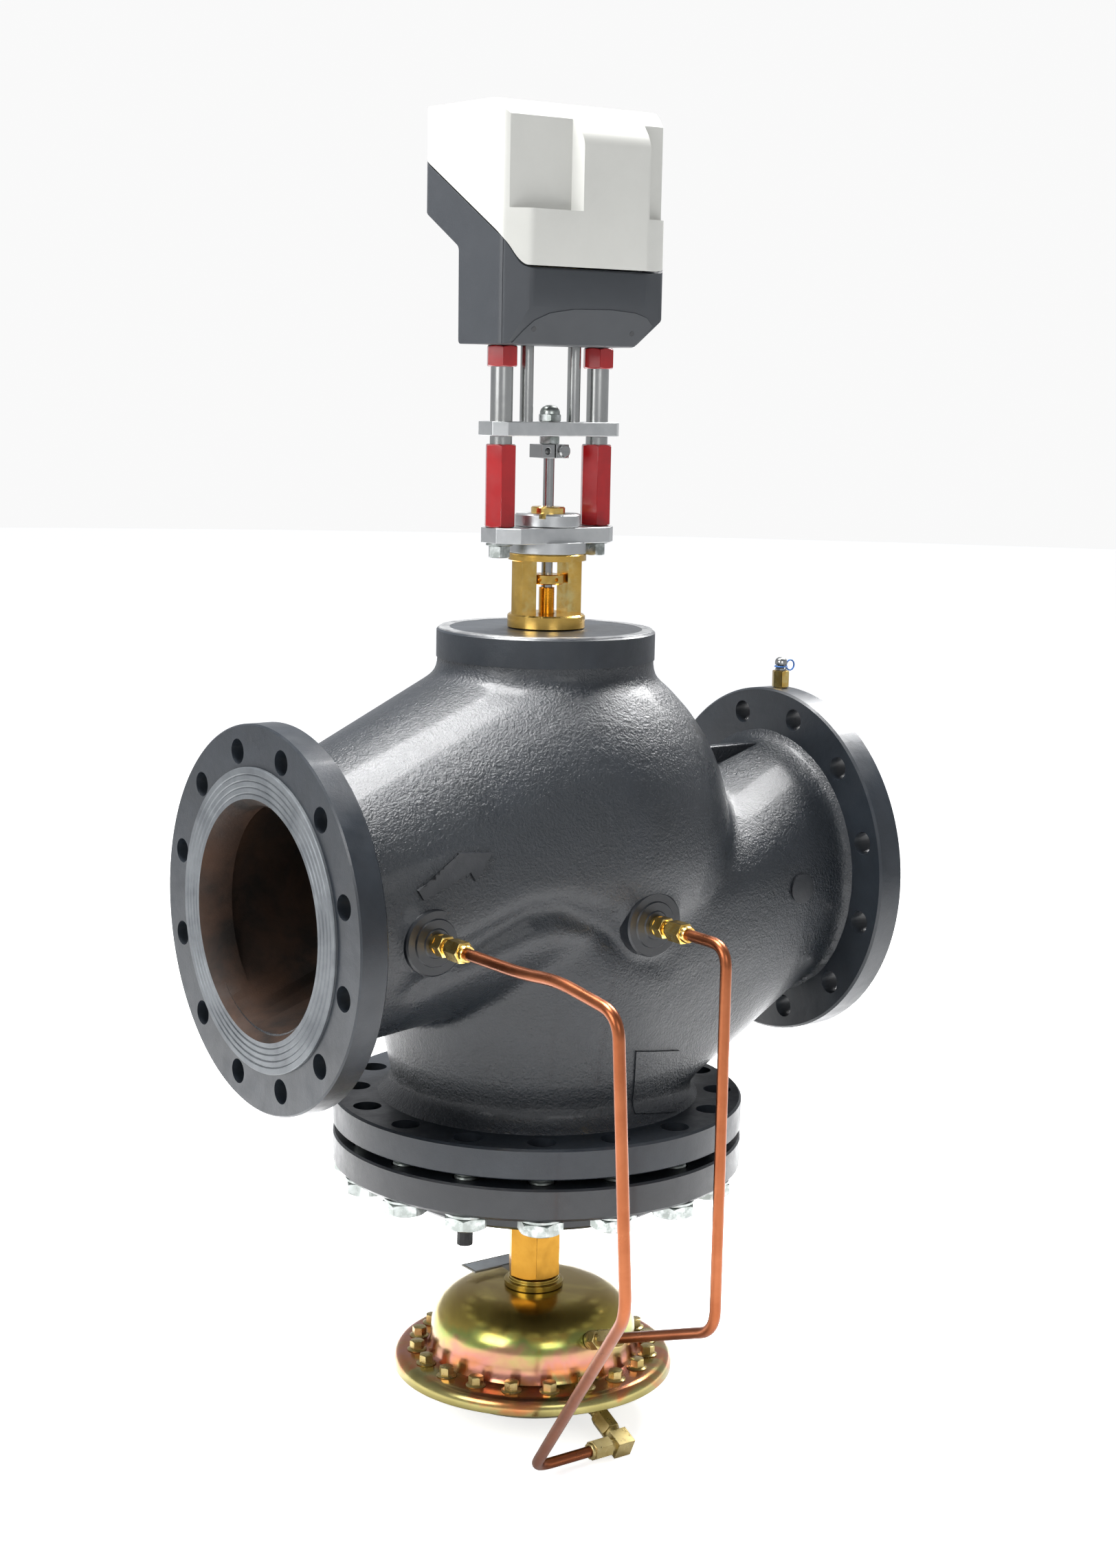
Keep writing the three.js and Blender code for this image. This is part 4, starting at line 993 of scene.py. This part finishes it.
def hoop(radius, wire, steps=40):
    """A round ring of wire."""
    bm = bmesh.new()
    bmesh.ops.create_circle(bm, radius=wire, segments=14,
                            matrix=Matrix.Translation((radius, 0, 0)) @ Matrix.Rotation(math.pi / 2, 4, "X"))
    bmesh.ops.spin(bm, geom=bm.verts[:] + bm.edges[:], axis=(0, 0, 1), angle=math.tau, steps=steps,
                   use_merge=True)
    bmesh.ops.recalc_face_normals(bm, faces=bm.faces)
    return bm


strap = with_parts(moved(hoop(5.9, 0.7), z=190.8), moved(hoop(5, 0.8), x=11.8, z=191.6, turn=90, about="X"))
piece("cap_strap", moved(strap, x=RIM_X), blue_plastic, "test_strap")

# ---- Stage ----
# A pale floor, large soft lights and the camera, none of which belong to the valve. The floor glows a little
# for the camera alone, so that it meets the white surround without an edge.
floor_mesh = bpy.data.meshes.new("floor")
floor_shape = bmesh.new()
bmesh.ops.create_circle(floor_shape, radius=14, segments=64, cap_ends=True,
                        matrix=Matrix.Translation((STEM.x, 0, cad_box[0].z)))
floor_shape.to_mesh(floor_mesh)
floor_shape.free()
floor = bpy.data.objects.new("floor", floor_mesh)
bpy.context.collection.objects.link(floor)
pale = bpy.data.materials.new("pale floor")
pale.use_nodes = True
shader = pale.node_tree.nodes["Principled BSDF"]
shader.inputs["Base Color"].default_value = (0.9, 0.9, 0.9, 1)
shader.inputs["Roughness"].default_value = 0.7
shader.inputs["Emission Color"].default_value = (0.7, 0.7, 0.7, 1)
glow = add_node(pale.node_tree, "LightPath").outputs["Is Camera Ray"]
pale.node_tree.links.new(glow, shader.inputs["Emission Strength"])
floor_mesh.materials.append(pale)

world = bpy.data.worlds.new("studio")
world.use_nodes = True
tree = world.node_tree
direction = add_node(tree, "SeparateXYZ", Vector=add_node(tree, "TexCoord").outputs["Generated"])
sky = add_node(tree, "ValToRGB", Fac=direction.outputs["Z"])
sky.color_ramp.elements[0].color = (0.62, 0.63, 0.65, 1)
sky.color_ramp.elements[1].color = (0.16, 0.17, 0.19, 1)
surround = add_node(tree, "MixRGB", Fac=add_node(tree, "LightPath").outputs["Is Camera Ray"],
                    Color1=sky.outputs["Color"], Color2=(0.95, 0.95, 0.95, 1))
tree.links.new(surround.outputs[0], tree.nodes["Background"].inputs["Color"])
bpy.context.scene.world = world
middle = Vector((STEM.x, 0, 0.1))


def soft_light(name, place, size, power):
    """A large light turned to the middle of the valve."""
    lamp = bpy.data.lights.new(name, "AREA")
    lamp.shape = "RECTANGLE"
    lamp.size, lamp.size_y = size
    lamp.energy = power
    holder = bpy.data.objects.new(name, lamp)
    holder.location = place
    holder.rotation_euler = (middle - Vector(place)).to_track_quat("-Z", "Y").to_euler()
    bpy.context.collection.objects.link(holder)


soft_light("key", (-2.6, -0.4, 1.3), (1.6, 1.4), 62)
soft_light("front", (-0.4, -2.8, 1.1), (1.2, 0.9), 15)
soft_light("rim", (1.9, 0.5, 1.9), (0.9, 1.4), 120)
soft_light("top", (-0.2, 0.45, 2.5), (1.3, 0.9), 185)

bpy.context.scene.view_settings.view_transform = "Standard"
camera_data = bpy.data.cameras.new("camera")
camera_data.lens, camera_data.sensor_width = 55.99, 36
camera = bpy.data.objects.new("camera", camera_data)
bpy.context.collection.objects.link(camera)
CAMERA_PLACE = (-0.98955, -1.81200, 0.45855)
heading, pitch, roll = (math.radians(angle) for angle in (35.796, 9.256, 1.133))
level_forward = Vector((math.sin(heading), math.cos(heading), 0))
forward = level_forward * math.cos(pitch) - Vector((0, 0, math.sin(pitch)))
right = Vector((math.cos(heading), -math.sin(heading), 0))
up = right.cross(forward)
axes = Matrix((right * math.cos(roll) + up * math.sin(roll),
               up * math.cos(roll) - right * math.sin(roll), -forward))
camera.matrix_world = Matrix.Translation(CAMERA_PLACE) @ axes.transposed().to_4x4()
bpy.context.scene.camera = camera
